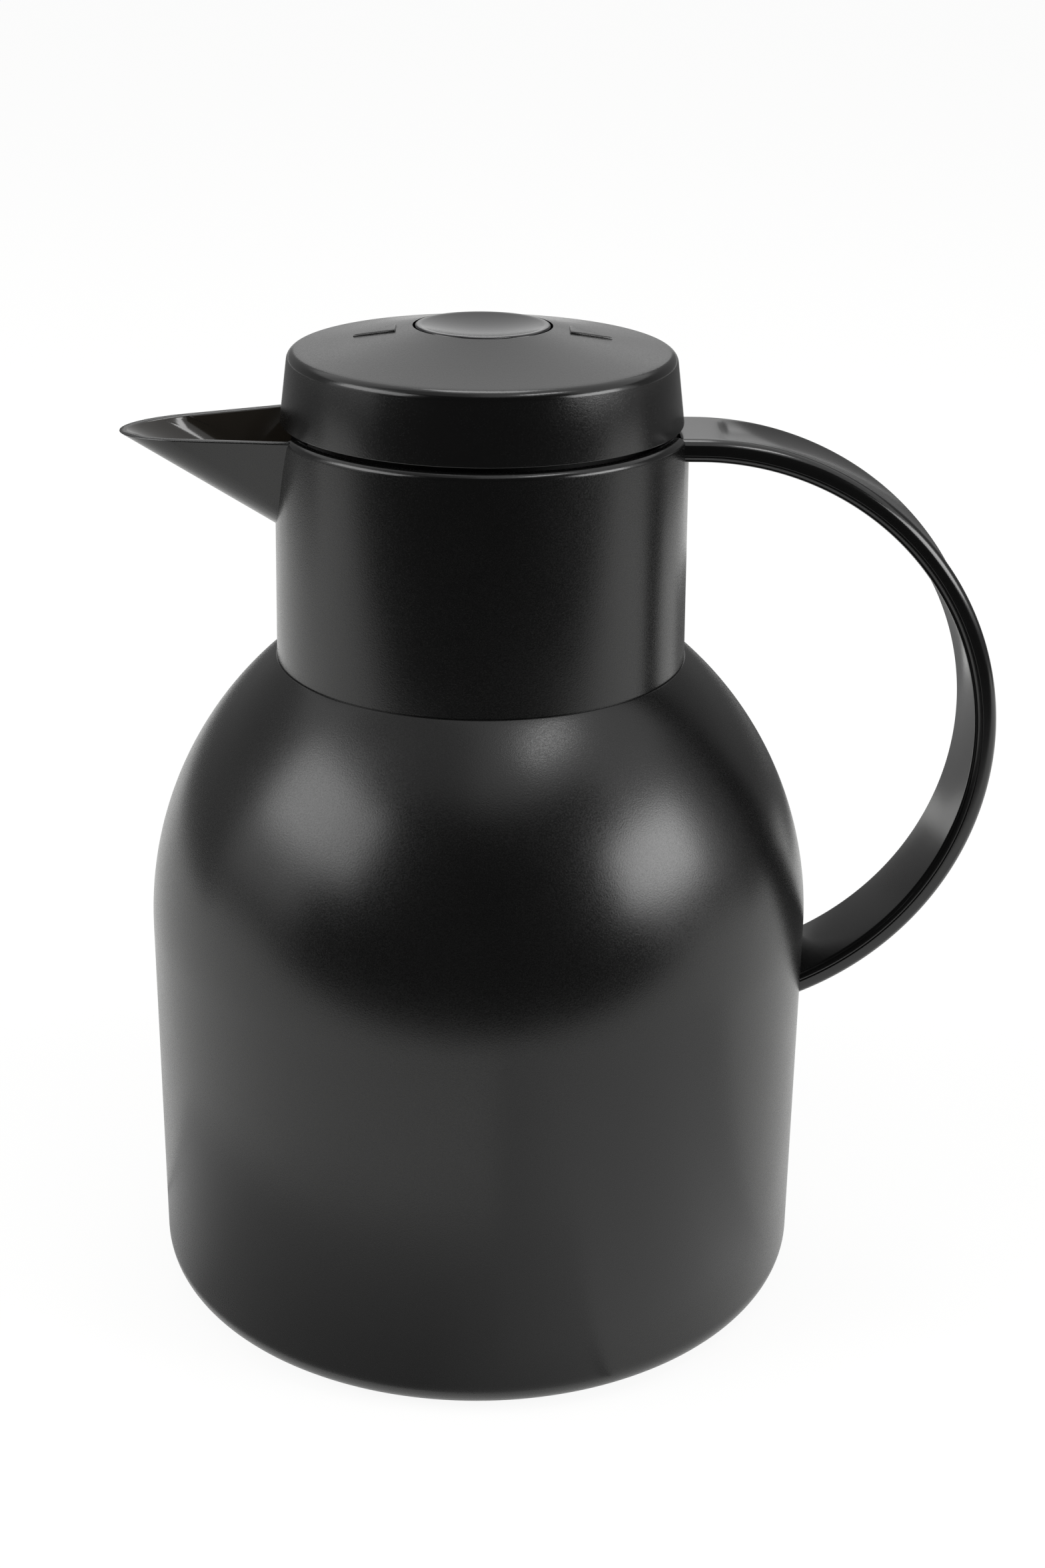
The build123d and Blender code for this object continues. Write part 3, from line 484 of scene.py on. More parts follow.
def soft_rubber(name, colour, roughness, ior, cloud_width, scatter):
    """Moulded rubber: dull, cloudy in its gloss, and a little uneven to the touch."""
    material, tree = new_material(name)
    place = add_node(tree, "ShaderNodeTexCoord")
    cloud = add_node(tree, "ShaderNodeTexNoise", {"Scale": 1 / (cloud_width * MM), "Detail": 4.0},
                     {"Vector": place.outputs["Object"]})
    gloss = add_node(tree, "ShaderNodeMapRange",
                     {"To Min": roughness - CLOUD_GLOSS, "To Max": roughness + CLOUD_GLOSS},
                     {"Value": cloud.outputs["Fac"]})
    relief = add_node(tree, "ShaderNodeBump", {"Strength": 1.0, "Distance": RUBBER_RELIEF},
                      {"Height": cloud.outputs["Fac"]})
    surface = add_node(tree, "ShaderNodeBsdfPrincipled",
                       {"Base Color": linear(colour), "IOR": ior, "Subsurface Weight": scatter,
                        "Subsurface Radius": (1.0, 1.0, 1.0), "Subsurface Scale": SCATTER_DEPTH},
                       {"Roughness": gloss.outputs["Result"], "Normal": relief.outputs["Normal"]})
    add_node(tree, "ShaderNodeOutputMaterial", links={"Surface": surface.outputs["BSDF"]})
    return material


SOFT_FINISHES = {
    # slot: name, colour, roughness, IOR, width of its clouds (mm), how much light goes in
    "black_rubber": ("nitrile_rubber_black", "#141414", 0.55, RUBBER_IOR, 1.5, 0.0),
    "grey_rubber": ("foam_rubber_grey", "#4a4a49", 0.80, RUBBER_IOR, 0.8, 0.0),
    "clear_silicone": ("translucent_silicone", "#c9cbca", 0.40, SILICONE_IOR, 4.0, 0.6),
    "natural_plastic": ("natural_polypropylene", "#dcdcd6", 0.35, PP_IOR, 6.0, 0.4),
}
for slot_name, values in SOFT_FINISHES.items():
    FINISHES[slot_name] = soft_rubber(*values)
print("soft finishes:", ", ".join(SOFT_FINISHES))

# %% [markdown]
# ## Steel
#
# The screws are zinc plated, which leaves fine even crystals. The spring is drawn stainless wire and
# the clip is rolled sheet, so their lines run one way: the same noise is stretched along Z for them.
# A metal has no colour but that of its reflections, so roughness does all the work.

# %% Steel
DRAWN_WIDTH = 0.10 * MM
STEEL_GLOSS = (-0.08, 0.10)


def steel(name, colour, roughness, grain_stretch):
    """Plated or drawn steel: fine crystals, or fine lines where the noise is stretched."""
    material, tree = new_material(name)
    place = add_node(tree, "ShaderNodeTexCoord")
    drawn = add_node(tree, "ShaderNodeMapping", {"Scale": grain_stretch},
                     {"Vector": place.outputs["Object"]})
    lines = add_node(tree, "ShaderNodeTexNoise", {"Scale": 1 / DRAWN_WIDTH, "Detail": 3.0},
                     {"Vector": drawn.outputs["Vector"]})
    gloss = add_node(tree, "ShaderNodeMapRange",
                     {"To Min": roughness + STEEL_GLOSS[0], "To Max": roughness + STEEL_GLOSS[1]},
                     {"Value": lines.outputs["Fac"]})
    surface = add_node(tree, "ShaderNodeBsdfPrincipled", {"Base Color": linear(colour), "Metallic": 1.0},
                       {"Roughness": gloss.outputs["Result"]})
    add_node(tree, "ShaderNodeOutputMaterial", links={"Surface": surface.outputs["BSDF"]})
    return material


FINISHES["zinc_screws"] = steel("zinc_plated_steel", "#c3c5c9", 0.32, (1, 1, 1))
FINISHES["spring_steel"] = steel("drawn_stainless_steel", "#b9b7b3", 0.26, (1, 1, 0.15))
print("steel: screws, spring and clip")

# %% [markdown]
# ## Silvered glass and fibre pads
#
# The flask is blown borosilicate glass, silvered on the side of the vacuum, so from outside it is a
# mirror under a skin of clear glass. A metal with a coat of glass over it gives both reflections at
# once. Blown glass is never quite true: a slow wave bends the mirror. The pads that hold the walls
# apart are pressed mineral fibre, which is matt, mottled and slightly hairy.

# %% Silvered glass and fibre pads
GLASS_IOR = 1.47
WAVE_WIDTH, WAVE_DEPTH = 14 * MM, 0.15 * MM
FIBRE_WIDTH, FIBRE_DEPTH = 0.35 * MM, 0.10 * MM


def silvered_glass():
    """A silver mirror, very slightly uneven, under clear glass."""
    material, tree = new_material("silvered_borosilicate_glass")
    place = add_node(tree, "ShaderNodeTexCoord")
    waves = add_node(tree, "ShaderNodeTexNoise", {"Scale": 1 / WAVE_WIDTH, "Detail": 1.0},
                     {"Vector": place.outputs["Object"]})
    relief = add_node(tree, "ShaderNodeBump", {"Strength": 1.0, "Distance": WAVE_DEPTH},
                      {"Height": waves.outputs["Fac"]})
    haze = add_node(tree, "ShaderNodeMapRange", {"To Min": 0.03, "To Max": 0.12},
                    {"Value": waves.outputs["Fac"]})
    surface = add_node(tree, "ShaderNodeBsdfPrincipled",
                       {"Base Color": linear("#e4e5e6"), "Metallic": 1.0, "Coat Weight": 1.0,
                        "Coat IOR": GLASS_IOR, "Coat Roughness": 0.01},
                       {"Roughness": haze.outputs["Result"], "Normal": relief.outputs["Normal"]})
    add_node(tree, "ShaderNodeOutputMaterial", links={"Surface": surface.outputs["BSDF"]})
    return material


def fibre_pad():
    """Pressed mineral fibre: matt, mottled and slightly hairy."""
    material, tree = new_material("pressed_mineral_fibre")
    place = add_node(tree, "ShaderNodeTexCoord")
    hairs = add_node(tree, "ShaderNodeTexNoise",
                     {"Scale": 1 / FIBRE_WIDTH, "Detail": 5.0, "Distortion": 1.5},
                     {"Vector": place.outputs["Object"]})
    tone = add_node(tree, "ShaderNodeValToRGB", links={"Fac": hairs.outputs["Fac"]})
    tone.color_ramp.elements[0].color = linear("#8c8a84")
    tone.color_ramp.elements[1].color = linear("#d2cfc6")
    relief = add_node(tree, "ShaderNodeBump", {"Strength": 1.0, "Distance": FIBRE_DEPTH},
                      {"Height": hairs.outputs["Fac"]})
    surface = add_node(tree, "ShaderNodeBsdfPrincipled", {"Roughness": 0.95},
                       {"Base Color": tone.outputs["Color"], "Normal": relief.outputs["Normal"]})
    add_node(tree, "ShaderNodeOutputMaterial", links={"Surface": surface.outputs["BSDF"]})
    return material


FINISHES["silvered_glass"] = silvered_glass()
FINISHES["mineral_pads"] = fibre_pad()
print("finishes for all slots:", len(FINISHES))

# %% [markdown]
# ## A pen and a lathe
#
# Nearly every piece of a jug is round, so it starts as a profile: half of its section, drawn from the
# axis outwards. The pen draws with two operators. Extruding one point gives a straight line, and
# spinning one point about a centre gives an arc. The lathe then spins the whole profile once round
# the jug's axis. All sizes below are in millimetres.

# %% Pen and lathe
ROUND_STEPS = 192
SHARP_EDGE = math.radians(32)
TOUCHING = 0.002 * MM


def draw(bm, start, *moves):
    """Draws in the XZ plane. A move is a line to (r, z) or an arc (centre r, z, degrees, steps)."""
    tip = bm.verts.new(Vector((start[0], 0, start[1])) * MM)
    for move in moves:
        if len(move) == 2:
            tip = bmesh.ops.extrude_vert_indiv(bm, verts=[tip])["verts"][0]
            tip.co = Vector((move[0], 0, move[1])) * MM
        else:
            r, z, degrees, steps = move
            arc = bmesh.ops.spin(bm, geom=[tip], cent=Vector((r, 0, z)) * MM, axis=(0, -1, 0),
                                 angle=math.radians(degrees), steps=steps)
            tip = arc["geom_last"][0]
    return tip


def lathe(bm, steps=ROUND_STEPS):
    """Spins the profile once round Z, and closes its seam and its poles."""
    bmesh.ops.spin(bm, geom=bm.verts[:] + bm.edges[:], cent=(0, 0, 0), axis=(0, 0, 1),
                   angle=math.tau, steps=steps, use_merge=True)
    bmesh.ops.remove_doubles(bm, verts=bm.verts[:], dist=TOUCHING)
    bmesh.ops.recalc_face_normals(bm, faces=bm.faces[:])


def add_piece(name, bm, slot, body, replaces=(), materials=None):
    """Shades the mesh, makes it an object, attaches it to what it rides on, and hides the solids it
    stands for.
    """
    for face in bm.faces:
        face.smooth = True
    for edge in bm.edges:
        if len(edge.link_faces) == 2 and edge.calc_face_angle() > SHARP_EDGE:
            edge.smooth = False
    piece = make_object(name, bm)
    for material in materials or [FINISHES[slot]]:
        piece.data.materials.append(material)
    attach(piece, body)
    if replaces:
        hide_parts(*replaces)
    triangles = sum(len(polygon.vertices) - 2 for polygon in piece.data.polygons)
    print(f"{name}: {triangles} triangles, rides on {body}")
    return piece


# %% [markdown]
# ## The jug's shell
#
# The shell is one moulding: a rounded lower edge, a straight side and a dome that ends at the neck.
# Its profile runs up the outside and back down the inside, so that the lathe gives the wall its
# thickness. At the neck the dome turns up in a tiny round and ends in a ledge, half a millimetre wide,
# round the foot of the collar. It catches the light as the hair line that tells two mouldings apart.

# %% Jug shell
BODY_RADIUS, BODY_WALL = 70.0, 2.6
SHOULDER_Z, DOME_RADIUS = 81.6, 76.6
BASE_ROUND, BASE_LIFT = 7.0, 0.6
LIP_BORE, LIP_TOP = 62.0, 8.6
NECK_RADIUS, NECK_BORE, SLEEVE_RADIUS, SLEEVE_DEPTH = 42.2, 38.9, 41.1, 8.0
SEAM_LEDGE, SEAM_ROUND = 0.45, 0.5
DOME_CENTRE = BODY_RADIUS - DOME_RADIUS


def dome_angle(radius, across):
    """Degrees of dome arc from the straight side up to a distance from the axis."""
    return math.degrees(math.acos((across - DOME_CENTRE) / radius))


def dome_z(radius, across):
    """Height of a dome arc at a distance from the axis."""
    return SHOULDER_Z + math.sqrt(radius ** 2 - (across - DOME_CENTRE) ** 2)


SEAM_Z = dome_z(DOME_RADIUS, NECK_RADIUS)
ledge_angle = dome_angle(DOME_RADIUS, NECK_RADIUS + SEAM_LEDGE)
ledge_turn = math.radians(ledge_angle)
ledge_centre = (DOME_CENTRE + (DOME_RADIUS - SEAM_ROUND) * math.cos(ledge_turn),
                SHOULDER_Z + (DOME_RADIUS - SEAM_ROUND) * math.sin(ledge_turn))
bm = bmesh.new()
inner_dome = DOME_RADIUS - BODY_WALL
inner_side = BODY_RADIUS - BODY_WALL
draw(bm, (LIP_BORE, BASE_LIFT),
     (BODY_RADIUS - BASE_ROUND, BASE_LIFT),
     (BODY_RADIUS - BASE_ROUND, BASE_LIFT + BASE_ROUND, 90, 14),
     (BODY_RADIUS, SHOULDER_Z),
     (DOME_CENTRE, SHOULDER_Z, ledge_angle, 48),
     (*ledge_centre, 90 - ledge_angle, 5),
     (NECK_BORE, ledge_centre[1] + SEAM_ROUND),
     (NECK_BORE, SEAM_Z - SLEEVE_DEPTH),
     (SLEEVE_RADIUS, SEAM_Z - SLEEVE_DEPTH),
     (SLEEVE_RADIUS, dome_z(inner_dome, SLEEVE_RADIUS)),
     (DOME_CENTRE, SHOULDER_Z, -dome_angle(inner_dome, SLEEVE_RADIUS), 24),
     (inner_side, LIP_TOP + inner_side - LIP_BORE),
     (LIP_BORE, LIP_TOP),
     (LIP_BORE, BASE_LIFT))
lathe(bm)
add_piece("jug_shell", bm, "black_body", "jug", ["body_shell"])

# %% [markdown]
# ## Joining and cutting solids
#
# The collar is a turned ring with a horn moulded on its side. Where two such shapes meet, the crease
# follows a curve that nobody would want to work out by hand, so the shapes are made whole, and the
# Boolean modifier joins and cuts them.

# %% Joining and cutting
def carve(bm, *cuts):
    """Joins or cuts a closed mesh with others in turn: each cut is (operation, mesh)."""
    base = make_object("carve_base", bm)
    tools = []
    for operation, tool in cuts:
        tools.append(make_object("carve_tool", tool))
        modifier = base.modifiers.new("carve", "BOOLEAN")
        modifier.operation = operation
        modifier.object = tools[-1]
        modifier.solver = "EXACT"
    shaped = base.evaluated_get(bpy.context.evaluated_depsgraph_get())
    mesh = bpy.data.meshes.new_from_object(shaped)
    result = bmesh.new()
    result.from_mesh(mesh)
    bpy.data.meshes.remove(mesh)
    for passing in [base] + tools:
        data = passing.data
        bpy.data.objects.remove(passing)
        bpy.data.meshes.remove(data)
    bmesh.ops.remove_doubles(result, verts=result.verts[:], dist=TOUCHING)
    return result


def box(low, high):
    """A block between two corners, in millimetres."""
    bm = bmesh.new()
    bmesh.ops.create_cube(bm, size=1.0)
    size = Vector(high) - Vector(low)
    bmesh.ops.scale(bm, vec=size * MM, verts=bm.verts[:])
    bmesh.ops.translate(bm, vec=(Vector(high) + Vector(low)) / 2 * MM, verts=bm.verts[:])
    return bm


def round_plug(radius, low, high):
    """A solid cylinder about the jug's axis."""
    bm = bmesh.new()
    draw(bm, (0, low), (radius, low), (radius, high), (0, high))
    lathe(bm)
    return bm


print("joining and cutting: ready")

# %% [markdown]
# ## The horn of the spout
#
# Seen from its end, the spout is a V on a round keel. Seen from the side, the keel climbs in a
# straight line to the tip, and a gently falling plane cuts the top. So the V is drawn once, run
# along the keel, and cut by the plane. The channel inside is a second V, a wall's thickness smaller.
# It is lofted through a few sections, because near the tip it climbs less steeply than the keel does.
# The rim between the two is bevelled, since a pouring edge is never sharp.

# %% Horn
COLLAR_HEIGHT = 47.25
RIM_Z = SEAM_Z + COLLAR_HEIGHT
WELL_RADIUS, COLLAR_TOP_RADIUS, COLLAR_WALL = 39.2, 41.5, 2.3
SPOUT_REACH, TIP_DROP = 72.8, 1.6
KEEL_PITCH, KEEL_RADIUS, SIDE_LEAN = math.radians(31), 12.5, math.radians(22)
SPOUT_WALL = 1.8
HORN_RUN, HORN_TOP, CHANNEL_TOP = 62, RIM_Z + 30, RIM_Z + 20
WELL_SPAN, POURING_ROUND = (100, 240), 0.4
IN_PLANE, CREASE = 0.01 * MM, math.radians(20)
KEEL_DIRECTION = Vector((-math.cos(KEEL_PITCH), 0, math.sin(KEEL_PITCH)))
TIP_Z = RIM_Z - TIP_DROP
RIM_FALL = math.atan(TIP_DROP / (SPOUT_REACH - WELL_RADIUS))
RIM_NORMAL = Vector((-math.sin(RIM_FALL), 0, math.cos(RIM_FALL)))
RIM_POINT = Vector((-WELL_RADIUS, 0, RIM_Z)) * MM


def draw_vee(bm, x, keel_z, radius, top, steps=28):
    """Draws the spout's section, a closed V on a round keel, in the plane across the spout at x."""
    side = (radius * math.cos(SIDE_LEAN), keel_z + radius * (1 - math.sin(SIDE_LEAN)))
    spread = side[0] + (top - side[1]) * math.tan(SIDE_LEAN)
    before = set(bm.verts)
    draw(bm, (spread, top), side, (0, keel_z + radius, -180 + 2 * math.degrees(SIDE_LEAN), steps),
         (-spread, top), (spread, top))
    drawn = [vert for vert in bm.verts if vert not in before]
    bmesh.ops.remove_doubles(bm, verts=drawn, dist=TOUCHING)
    drawn = [vert for vert in bm.verts if vert not in before]
    bmesh.ops.transform(bm, verts=drawn, matrix=Matrix.Translation((x * MM, 0, 0))
                        @ Matrix.Rotation(math.radians(90), 4, "Z"))
    return [edge for edge in bm.edges if edge.verts[0] in drawn]


def horn():
    """The spout's outside as a solid, cut by the plane of its rim."""
    start = -(WELL_RADIUS - COLLAR_WALL)
    bm = bmesh.new()
    edges = draw_vee(bm, start, TIP_Z - (SPOUT_REACH + start) * math.tan(KEEL_PITCH), KEEL_RADIUS,
                     HORN_TOP)
    face = bmesh.ops.contextual_create(bm, geom=edges)["faces"][0]
    run = bmesh.ops.extrude_face_region(bm, geom=[face], use_keep_orig=True)
    moved = [item for item in run["geom"] if isinstance(item, bmesh.types.BMVert)]
    bmesh.ops.translate(bm, vec=KEEL_DIRECTION * HORN_RUN * MM, verts=moved)
    bmesh.ops.bisect_plane(bm, geom=bm.verts[:] + bm.edges[:] + bm.faces[:], dist=TOUCHING,
                           plane_co=RIM_POINT, plane_no=RIM_NORMAL, clear_outer=True)
    bmesh.ops.holes_fill(bm, edges=bm.edges[:])
    bmesh.ops.recalc_face_normals(bm, faces=bm.faces[:])
    return bm


# where along X, and how far the channel's keel lies above the tip: steep near the well, then easing
CHANNEL_KEEL = ((-30.5, -24.3), (-36.0, -20.9), (-42.0, -17.2), (-48.0, -13.2), (-54.0, -9.3),
                (-60.0, -5.6), (-65.0, -2.9), (-69.0, -1.0), (-71.4, 0.05), (-74.5, 1.3))


def channel():
    """The spout's inside as a solid to cut with, lofted through its sections."""
    bm = bmesh.new()
    radius = KEEL_RADIUS - SPOUT_WALL * math.cos(KEEL_PITCH)
    rings = [draw_vee(bm, x, TIP_Z + rise, radius, CHANNEL_TOP) for x, rise in CHANNEL_KEEL]
    for near, far in zip(rings, rings[1:]):
        bmesh.ops.bridge_loops(bm, edges=near + far)
    bmesh.ops.contextual_create(bm, geom=rings[0])
    bmesh.ops.contextual_create(bm, geom=rings[-1])
    bmesh.ops.recalc_face_normals(bm, faces=bm.faces[:])
    return bm


def bevel_rim(bm, width):
    """Bevels the edges that lie in the plane of the spout's rim."""
    def in_plane(vert):
        return abs((vert.co - RIM_POINT).dot(RIM_NORMAL)) < IN_PLANE
    edges = [edge for edge in bm.edges if in_plane(edge.verts[0]) and in_plane(edge.verts[1])
             and len(edge.link_faces) == 2 and edge.calc_face_angle() > CREASE]
    bmesh.ops.bevel(bm, geom=edges, offset=width * MM, segments=3, profile=0.5, affect="EDGES",
                    material=-1)
    return len(edges)


spout = carve(horn(), ("DIFFERENCE", channel()), ("DIFFERENCE", round_plug(WELL_RADIUS, *WELL_SPAN)))
print("rim edges bevelled:", bevel_rim(spout, POURING_ROUND))

# %% [markdown]
# ## The collar
#
# The collar is a slightly tapering ring with a rounded rim. Inside are the well for the stopper, its
# seat, and a funnel down to the glass. A screw thread joins it to the shell, below the seam. The
# channel cuts a window in its wall, the horn is joined on, and a notch takes the root of the handle.

# %% Collar
RIM_ROUND, RIM_LIFT, SEAT_Z, FUNNEL_RISE = 1.5, 0.35, RIM_Z - 27.9, 7.5
SEAT_RADIUS, THROAT_RADIUS, FLOOR_Z = 27.5, 20.0, RIM_Z - 30.4
SKIRT_IN, SKIRT_OUT, SKIRT_LOW = 27.04, 28.84, RIM_Z - 37.9
SPIGOT_RADIUS, SPIGOT_BORE, SPIGOT_LOW = 38.8, 36.5, SEAM_Z - 7.0
WELL_ROUND, THROAT_ROUND, SEAM_SINK = 0.3, 0.5, 0.4
SKIRT_STEP, FUNNEL_BACK = 0.3, 2.8
HANDLE_HALF_WIDTH, STRAP_THICKNESS, HANDLE_DROP = 11.3, 3.1, 0.3
NOTCH_SPAN, NOTCH_PLAY = (20, 70), 0.02

bm = bmesh.new()
rim_top = RIM_Z + RIM_LIFT
draw(bm, (NECK_RADIUS, SEAM_Z - SEAM_SINK),
     (COLLAR_TOP_RADIUS, rim_top - RIM_ROUND),
     (COLLAR_TOP_RADIUS - RIM_ROUND, rim_top - RIM_ROUND, 90, 10),
     (WELL_RADIUS + WELL_ROUND, rim_top),
     (WELL_RADIUS + WELL_ROUND, rim_top - WELL_ROUND, 90, 4),
     (WELL_RADIUS, SEAT_Z + FUNNEL_RISE),
     (SEAT_RADIUS, SEAT_Z),
     (THROAT_RADIUS + THROAT_ROUND, SEAT_Z),
     (THROAT_RADIUS + THROAT_ROUND, SEAT_Z - THROAT_ROUND, 90, 4),
     (THROAT_RADIUS, FLOOR_Z),
     (SKIRT_IN, FLOOR_Z),
     (SKIRT_IN, SKIRT_LOW),
     (SKIRT_OUT, SKIRT_LOW),
     (SKIRT_OUT, FLOOR_Z + SKIRT_STEP),
     (SPIGOT_BORE, SEAT_Z + FUNNEL_BACK),
     (SPIGOT_BORE, SPIGOT_LOW),
     (SPIGOT_RADIUS, SPIGOT_LOW),
     (SPIGOT_RADIUS, SEAM_Z - SEAM_SINK),
     (NECK_RADIUS, SEAM_Z - SEAM_SINK))
lathe(bm)
notch_z = RIM_Z - HANDLE_DROP - STRAP_THICKNESS
notch_half = HANDLE_HALF_WIDTH + NOTCH_PLAY
notch = box((NOTCH_SPAN[0], -notch_half, notch_z), (NOTCH_SPAN[1], notch_half, RIM_Z + 10))
bm = carve(bm, ("DIFFERENCE", channel()), ("UNION", spout), ("DIFFERENCE", notch))
print("collar and spout:", len(bm.faces), "faces")

# %% [markdown]
# ## Where the grain runs out
#
# The channel is polished so that drops run off, and the rim is smoother than the sides. Both are told
# apart by where a face lies and by how far it looks up: its normal has no upward share on a wall,
# and all of it on a level face, so the faces of a rounded edge are those between.

# %% Channel and rim
CHANNEL_BELOW_RIM, CHANNEL_FALL, CHANNEL_HALF = 0.2, 0.045, 25
CHANNEL_UP, RIM_UP, RIM_DEPTH = 0.05, (0.12, 0.97), TIP_DROP + 0.9


def in_channel(face):
    """Whether a face belongs to the polished channel: inside the spout and facing up or in."""
    centre = face.calc_center_median() / MM
    out = -centre.x - WELL_RADIUS
    below_rim = centre.z <= RIM_Z - CHANNEL_BELOW_RIM - CHANNEL_FALL * out
    return out > 0 and below_rim and face.normal.z > CHANNEL_UP and abs(centre.y) < CHANNEL_HALF


def on_collar_rim(face):
    """Whether a face belongs to the rounded rim."""
    centre = face.calc_center_median() / MM
    return centre.z > RIM_Z - RIM_DEPTH and RIM_UP[0] < face.normal.z < RIM_UP[1]


for face in bm.faces:
    face.material_index = 1 if in_channel(face) else 2 if on_collar_rim(face) else 0
add_piece("collar_and_spout", bm, "black_collar", "jug", ["collar_with_spout"],
          [FINISHES["black_collar"], POLISHED_CHANNEL_PAINTED_SHEEN, SMOOTH_EDGE])

# %% [markdown]
# ## The handle's strap
#
# The handle is a flat strap bent into nearly half a ring, with a thinner cover on its inside. Its
# section is drawn at the top of the ring, where it is easiest to think about, and spun about the
# ring's axis. The outside of the strap is hollowed for the palm, up to a flat pad for the thumb. The
# hollow is pressed in after the spin, point by point, so that it can fade out at its ends.

# %% Handle strap
RING_X, RING_RADIUS = COLLAR_TOP_RADIUS + 1.8, 63.69
RING_Z = RIM_Z - HANDLE_DROP - RING_RADIUS
STRAP_TOP = RIM_Z - HANDLE_DROP
COVER_THICKNESS, COVER_INSET, COVER_ROUND = 1.5, 0.3, 1.35
STRAP_ROUND, STRAP_INNER_ROUND = 2.1, 0.15
DISH_DEPTH, DISH_MARGIN, DISH_START = 0.6, 2.2, math.radians(3.8)
DISH_FADE = math.radians(1.6)
RING_END, RING_STEPS, STRAP_HALF_STEPS = 90 + 65.9, 150, 12
STRAP_ROOT, COVER_ROOT = WELL_RADIUS + 0.1, WELL_RADIUS + 0.4


def bent_strip(bm, root_x):
    """Turns a section drawn at the ring's top into a straight root and a bent strip."""
    bmesh.ops.transform(bm, verts=bm.verts[:], matrix=Matrix.Translation((RING_X * MM, 0, 0))
                        @ Matrix.Rotation(math.radians(90), 4, "Z"))
    bmesh.ops.remove_doubles(bm, verts=bm.verts[:], dist=TOUCHING)
    section = bm.edges[:]
    root = bmesh.ops.extrude_edge_only(bm, edges=section)
    ends = [item for item in root["geom"] if isinstance(item, bmesh.types.BMVert)]
    bmesh.ops.translate(bm, vec=((root_x - RING_X) * MM, 0, 0), verts=ends)
    root_edges = [item for item in root["geom"] if isinstance(item, bmesh.types.BMEdge)
                  and item.verts[0] in ends and item.verts[1] in ends]
    bend = bmesh.ops.spin(bm, geom=section, cent=Vector((RING_X, 0, RING_Z)) * MM, axis=(0, 1, 0),
                          angle=math.radians(RING_END), steps=RING_STEPS)
    last = [item for item in bend["geom_last"] if isinstance(item, bmesh.types.BMEdge)]
    bmesh.ops.contextual_create(bm, geom=root_edges)
    bmesh.ops.contextual_create(bm, geom=last)
    bmesh.ops.remove_doubles(bm, verts=bm.verts[:], dist=TOUCHING)
    bmesh.ops.recalc_face_normals(bm, faces=bm.faces[:])


def smooth_step(value):
    """0 up to 0, 1 from 1, and a soft S between."""
    value = min(max(value, 0.0), 1.0)
    return value * value * (3 - 2 * value)


def press_hollow(bm):
    """Presses the hollow into the strap's outside."""
    half = HANDLE_HALF_WIDTH - DISH_MARGIN
    centre = Vector((RING_X, 0, RING_Z)) * MM
    for vert in bm.verts:
        out = vert.co - centre
        out.y = 0
        turn = math.atan2(out.x, out.z)
        across = abs(vert.co.y) / MM / half
        inside = out.length / MM < RING_RADIUS - 0.1
        if inside or across > 1 or turn < 0:
            continue
        depth = DISH_DEPTH * (1 - across ** 2) * smooth_step((turn - DISH_START) / DISH_FADE)
        vert.co -= out.normalized() * depth * MM


half = HANDLE_HALF_WIDTH
bm = bmesh.new()
low = STRAP_TOP - STRAP_THICKNESS
flat = half - STRAP_ROUND
top_points = [(flat - k * flat / STRAP_HALF_STEPS, STRAP_TOP) for k in range(1, 2 * STRAP_HALF_STEPS)]
draw(bm, (half - STRAP_INNER_ROUND, low),
     (half - STRAP_INNER_ROUND, low + STRAP_INNER_ROUND, 90, 5),
     (half, STRAP_TOP - STRAP_ROUND),
     (flat, STRAP_TOP - STRAP_ROUND, 90, 12),
     *top_points,
     (-flat, STRAP_TOP),
     (-flat, STRAP_TOP - STRAP_ROUND, 90, 12),
     (-half, low + STRAP_INNER_ROUND),
     (-half + STRAP_INNER_ROUND, low + STRAP_INNER_ROUND, 90, 5),
     (half - STRAP_INNER_ROUND, low))
bent_strip(bm, STRAP_ROOT)
press_hollow(bm)
add_piece("handle_outer_strap", bm, "black_handle", "jug", ["handle_strap"])

# %% [markdown]
# ## The handle's cover
#
# The cover closes the strap from the inside and hides its ribs and screws. It is a hair narrower than
# the strap, so that the joint between the two shows as one fine dark line, and its own edge is well
# rounded for the fingers. The strap's helper bends it too, about the same centre, so the two fit.

# %% Handle cover
COVER_OVERLAP = 0.02
half = HANDLE_HALF_WIDTH - COVER_INSET
bm = bmesh.new()
under = low - COVER_THICKNESS
draw(bm, (half - COVER_ROUND, under),
     (half - COVER_ROUND, under + COVER_ROUND, 90, 10),
     (half, low + COVER_OVERLAP),
     (-half, low + COVER_OVERLAP),
     (-half, under + COVER_ROUND),
     (-half + COVER_ROUND, under + COVER_ROUND, 90, 10),
     (half - COVER_ROUND, under))
bent_strip(bm, COVER_ROOT)
add_piece("handle_inner_cover", bm, "black_handle", "jug", ["handle_cover"])

# %% [markdown]
# ## Soft corners
#
# The lid's corner isn't square, so a quarter circle wouldn't round it. One helper finds the start,
# middle and end of the arc that touches both lines of a corner. The other turns three such points
# into a move of the pen: the centre of the circle through them, and how far to turn about it.

